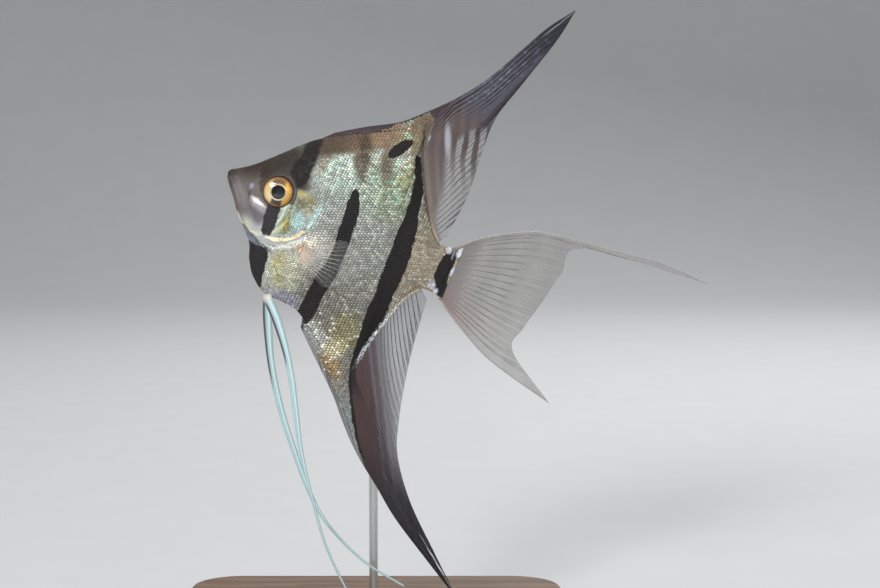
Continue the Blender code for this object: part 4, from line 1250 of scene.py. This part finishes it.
def anal_tone(graph, at):
    """Dark along the front and at the tip, waved and clearer behind, with the vent bar running down it."""
    x, z = at.x, at.z
    behind = x * 0.86 + z * 0.51 - 30.0  # behind the rear edge of the belly
    left = z.curve([(row[0], row[1]) for row in VENT_BAR])
    front = (left - x + 0.2).step(-0.5, 0.5)
    waves = (behind * 2.7 + (at.patchy - 0.5) * 3.0).sine()
    fade = behind.step(2.5, 10.5) * z.step(-66.0, -50.0)
    paint = Paint(graph, graph.mix(behind.step(0.0, 5.0), (0.066, 0.036, 0.036), (0.074, 0.060, 0.072)))
    paint.lay(waves.step(-0.2, 0.9) * behind.step(0.5, 4.0) * 0.55, (0.17, 0.15, 0.175))
    paint.lay(fade * 0.9, (0.235, 0.24, 0.25))
    paint.lay(z.step(-50.0, -64.0) * 0.9, (0.018, 0.016, 0.018))
    paint.lay(front * 0.9, (0.20, 0.22, 0.23))
    band = at.black * (1.0 - z.step(-38.0, -44.0) * z.step(-74.0, -62.0) * 0.75)
    paint.lay(band * 0.97, (0.016, 0.013, 0.016))
    lead = at.column.step(0.8, 0.3).larger((x - z.curve(ANAL_LEAD)).step(1.7, 0.9))
    paint.lay(lead * 0.92, (0.03, 0.025, 0.03))
    dense = (0.93 - fade * 0.56).larger(at.black * 0.97).larger(front)
    slit = graph.ellipse(x, z, (97.6, -76.2), (10.4, 0.26), -35.6, 0.5)
    return paint.colour, dense * (1.0 - slit * 0.9)


def tail_tone(graph, at):
    """Clear grey in faint bands, darker at the root and pinkish below."""
    x, z = at.x, at.z
    bands = (x * 0.85 + at.patchy * 4.0).sine()
    paint = Paint(graph, graph.mix(bands.step(-0.6, 0.8) * 0.4, (0.27, 0.265, 0.26), (0.36, 0.355, 0.34)))
    paint.lay(x.step(74.0, 66.0) * 0.6, (0.16, 0.13, 0.14))
    paint.lay(z.step(2.0, -12.0) * x.step(86.0, 70.0) * 0.8, (0.27, 0.19, 0.18))
    paint.lay(x.step(95.0, 102.0), (0.24, 0.20, 0.20))
    root = x.step(74.0, 67.0) - x.step(66.0, 84.0) * 0.9
    streamer = z.step(18.0, 22.0) * x.step(95.0, 103.0)
    return paint.colour, 0.56 + (root - streamer) * 0.2


def pectoral_tone(graph, at):
    """Almost clear, pinkish at the root."""
    colour = graph.mix(at.out.step(0.0, 0.4), (0.80, 0.64, 0.52), (0.56, 0.57, 0.56))
    return colour, 0.04 + at.out.step(0.30, 0.0) * 0.46


FIN_TONES = {"dorsal": dorsal_tone, "anal": anal_tone, "tail": tail_tone, "pectoral": pectoral_tone}


def web_look(group, kind):
    """A fin's web, in its tone: how dense it is gives how far it hides what is behind."""
    look = Look(f"{kind}_web", IOR=1.34)
    at = fin_fields(look, group)
    colour, dense = FIN_TONES[kind](look, at)
    crease = look.noise(at.place, 1.8, 3.0)
    pleat = (at.column * (4 * math.pi)).sine()
    return look.surface(Base_Color=look.scaled(colour, 0.86 + crease * 0.28),
                        Alpha=dense + (crease - 0.5) * 0.10, Roughness=0.42 + crease * 0.14,
                        Normal=look.bump(pleat * 0.5 + crease, 0.30))


def ray_look(group, kind, lift, pale, alpha=(0.96, 0.66), reach=1.0):
    """Fin rays: the web's own colour lifted towards a paler bone tone, darker at each joint.

    alpha goes from the first value at the root to the second at a reach of the way out.
    """
    look = Look(f"{kind}_ray", IOR=1.36)
    at = fin_fields(look, group)
    colour, _ = FIN_TONES[kind](look, at)
    grain = look.noise(at.place, 3.5, 2.0)
    joints = (at.out * 240.0).sine().step(0.55, 0.95)
    colour = look.scaled(look.mix(lift, colour, pale), (0.84 + grain * 0.32) * (1.0 - joints * 0.22))
    clear = alpha[0] + at.out.step(0.0, reach) * (alpha[1] - alpha[0])
    return look.surface(Base_Color=colour, Alpha=clear, Roughness=0.40 + grain * 0.12,
                        Normal=look.bump(grain, 0.25))


def feeler_look():
    """Pelvic feelers: milky turquoise with a pale ridge, a dark violet web near the chest, fine joints."""
    look = Look("feeler", IOR=1.38)
    out, across = look.mark("out"), look.mark("across")
    streak = look.noise(look.vector(out * 9.0, across * 1.6), 2.2, 3.0)
    paint = Paint(look, look.mix(streak, (0.27, 0.42, 0.45), (0.42, 0.58, 0.60)))
    paint.lay(abs(across + 0.30).step(0.34, 0.05) * 0.7, (0.62, 0.76, 0.76))
    paint.lay((across + 0.10).step(0.35, 0.75) * out.step(0.34, 0.26) * 0.95, (0.055, 0.035, 0.060))
    paint.lay(abs(across).step(0.80, 0.97) * 0.5, (0.13, 0.16, 0.19))
    paint.lay(out.step(0.045, 0.0) * 0.7, (0.62, 0.58, 0.50))
    joints = (out * 420.0).sine().step(0.6, 0.95)
    return look.surface(Base_Color=look.scaled(paint.colour, 1.0 - joints * 0.04),
                        Roughness=0.30 + streak * 0.12, Normal=look.bump(streak, 0.25))


def wood_look():
    """Oiled walnut with its grain along the base, in rings and fine dark pores."""
    look = Look("stand_wood", Coat_Weight=0.25, Coat_Roughness=0.28)
    x, y, z = look.split(look.scaled(look.object_place(), 1 / MM))
    drift = look.noise(look.vector(x * 0.010, y * 0.045, z * 0.045), 1.0, 3.0)
    pore = look.noise(look.vector(x * 0.05, y * 1.4, z * 1.4), 1.6, 4.0, 0.65)
    ring = ((y + z * 2.2) * 1.15 + drift * 30.0).sine()
    paint = Paint(look, look.mix(ring.step(-0.9, 0.9), (0.115, 0.062, 0.036), (0.215, 0.125, 0.072)))
    paint.lay(pore.step(0.50, 0.68) * 0.6, (0.055, 0.028, 0.016))
    paint.lay(drift.step(0.35, 0.7) * 0.3, (0.26, 0.155, 0.09))
    return look.surface(Base_Color=paint.colour, Roughness=0.42 + pore * 0.18,
                        Normal=look.bump(pore, 0.25, 0.0003))


def steel_look():
    """Brushed steel, its lines along the rod."""
    look = Look("stand_steel", Metallic=1.0)
    x, y, z = look.split(look.scaled(look.object_place(), 1 / MM))
    brushed = look.noise(look.vector(x * 3.0, y * 3.0, z * 0.12), 2.5, 3.0)
    return look.surface(Base_Color=look.mix(brushed, (0.42, 0.43, 0.44), (0.66, 0.67, 0.68)),
                        Roughness=0.22 + brushed * 0.16, Normal=look.bump(brushed, 0.12))


def stage_look():
    look = Look("backdrop", Roughness=0.75)
    speck = look.noise(look.scaled(look.object_place(), 1 / MM), 0.04, 3.0)
    return look.surface(Base_Color=look.scaled((0.66, 0.67, 0.68), 0.97 + speck * 0.06))


# ---------------------------------------------------------------- stage, lights and camera

def stage():
    """A pale floor that sweeps up into the backdrop."""
    reach, depth, rise, bend = 2.5, 1.0, 2.2, 0.7
    profile = [(-reach, 0.0), (depth, 0.0)]
    profile += [(depth + bend * math.sin(a), bend * (1 - math.cos(a)))
                for a in np.linspace(0.1, math.pi / 2, 16)]
    profile.append((depth + bend, rise))
    mesh = bpy.data.meshes.new("backdrop")
    mesh.from_pydata([(x, y, z) for y, z in profile for x in (-reach, reach)], [],
                     [(2 * k, 2 * k + 1, 2 * k + 3, 2 * k + 2) for k in range(len(profile) - 1)])
    mesh.materials.append(stage_look())
    mesh.shade_smooth()
    added("backdrop", mesh)


def lamp(name, aim, offset, size, power, colour):
    """A soft round light, at an offset from what it shines at."""
    light = bpy.data.lights.new(name, "AREA")
    light.shape = "DISK"
    light.size = size
    light.energy = power
    light.color = colour
    made = added(name, light)
    made.location = aim + Vector(offset)
    made.rotation_euler = (-Vector(offset)).to_track_quat("-Z", "Y").to_euler()


def lights(aim):
    lamp("key", aim, (-0.45, -0.85, 0.42), 0.35, 10.0, (1.0, 0.985, 0.96))
    lamp("fill", aim, (0.85, -0.70, 0.00), 0.8, 2.6, (0.95, 0.975, 1.0))
    lamp("back", aim, (0.30, 0.70, 0.75), 0.6, 7.0, (1.0, 1.0, 1.0))
    world = bpy.data.worlds.new("studio")
    world.use_nodes = True
    background = world.node_tree.nodes["Background"]
    background.inputs["Color"].default_value = (0.80, 0.82, 0.85, 1.0)
    background.inputs["Strength"].default_value = 0.30
    bpy.context.scene.world = world


def camera(aim):
    data = bpy.data.cameras.new("camera")
    data.lens = CAMERA_LENS
    data.sensor_width = 36.0
    made = added("camera", data)
    back = Vector((0.0, -math.cos(CAMERA_ELEVATION), math.sin(CAMERA_ELEVATION)))
    made.location = aim + CAMERA_DISTANCE * back
    made.rotation_euler = (math.pi / 2 - CAMERA_ELEVATION, 0.0, 0.0)
    bpy.context.scene.camera = made
    bpy.context.scene.view_settings.view_transform = "Standard"


def fish(pose):
    """All pieces of the fish."""
    random = np.random.default_rng(7)
    group = markings(pose)
    looks = {
        "skin": skin_look(group), "scales": scale_look(group), "iris": iris_look(group),
        "cornea": cornea_look(), "feeler": feeler_look(),
        **{kind: web_look(group, kind) for kind in FIN_TONES},
        "dorsal_ray": ray_look(group, "dorsal", 0.08, (0.34, 0.30, 0.30)),
        "anal_ray": ray_look(group, "anal", 0.14, (0.32, 0.30, 0.32)),
        "tail_ray": ray_look(group, "tail", 0.45, (0.62, 0.60, 0.58)),
        "pectoral_ray": ray_look(group, "pectoral", 0.5, (0.85, 0.83, 0.78), (0.95, 0.07), 0.7),
    }
    points, faces, uvs = skin_mesh()
    flesh = ("head", "lower_jaw", "gill_cover_left", "gill_cover_right", "trunk", "tail_stalk")
    piece("skin", points, faces, looks["skin"], pose, uvs, replaces=flesh)
    rows = scale_rows((points, faces[0], uvs), -1, 8.0, body_scale_size, on_body)
    scale_piece("scales_left", rows, looks["scales"], pose, random)
    scale_piece("scales_right", mirrored(rows), looks["scales"], pose, random)
    eyes(looks, pose)
    median_fins(looks, pose, random)
    pectoral_fins(looks, pose)
    pelvic_fins(looks, pose)


def main():
    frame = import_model()
    pose = fish_pose()
    fish(pose)
    for node, look in (("stand_base", wood_look()), ("stand_rod", steel_look())):
        frame["nodes"][node].material_slots[0].material = look
    stage()
    aim = pose @ Vector((EYE_AT.x * MM, 0, EYE_AT.y * MM)) + AIM_FROM_EYES
    lights(aim)
    camera(aim)


main()
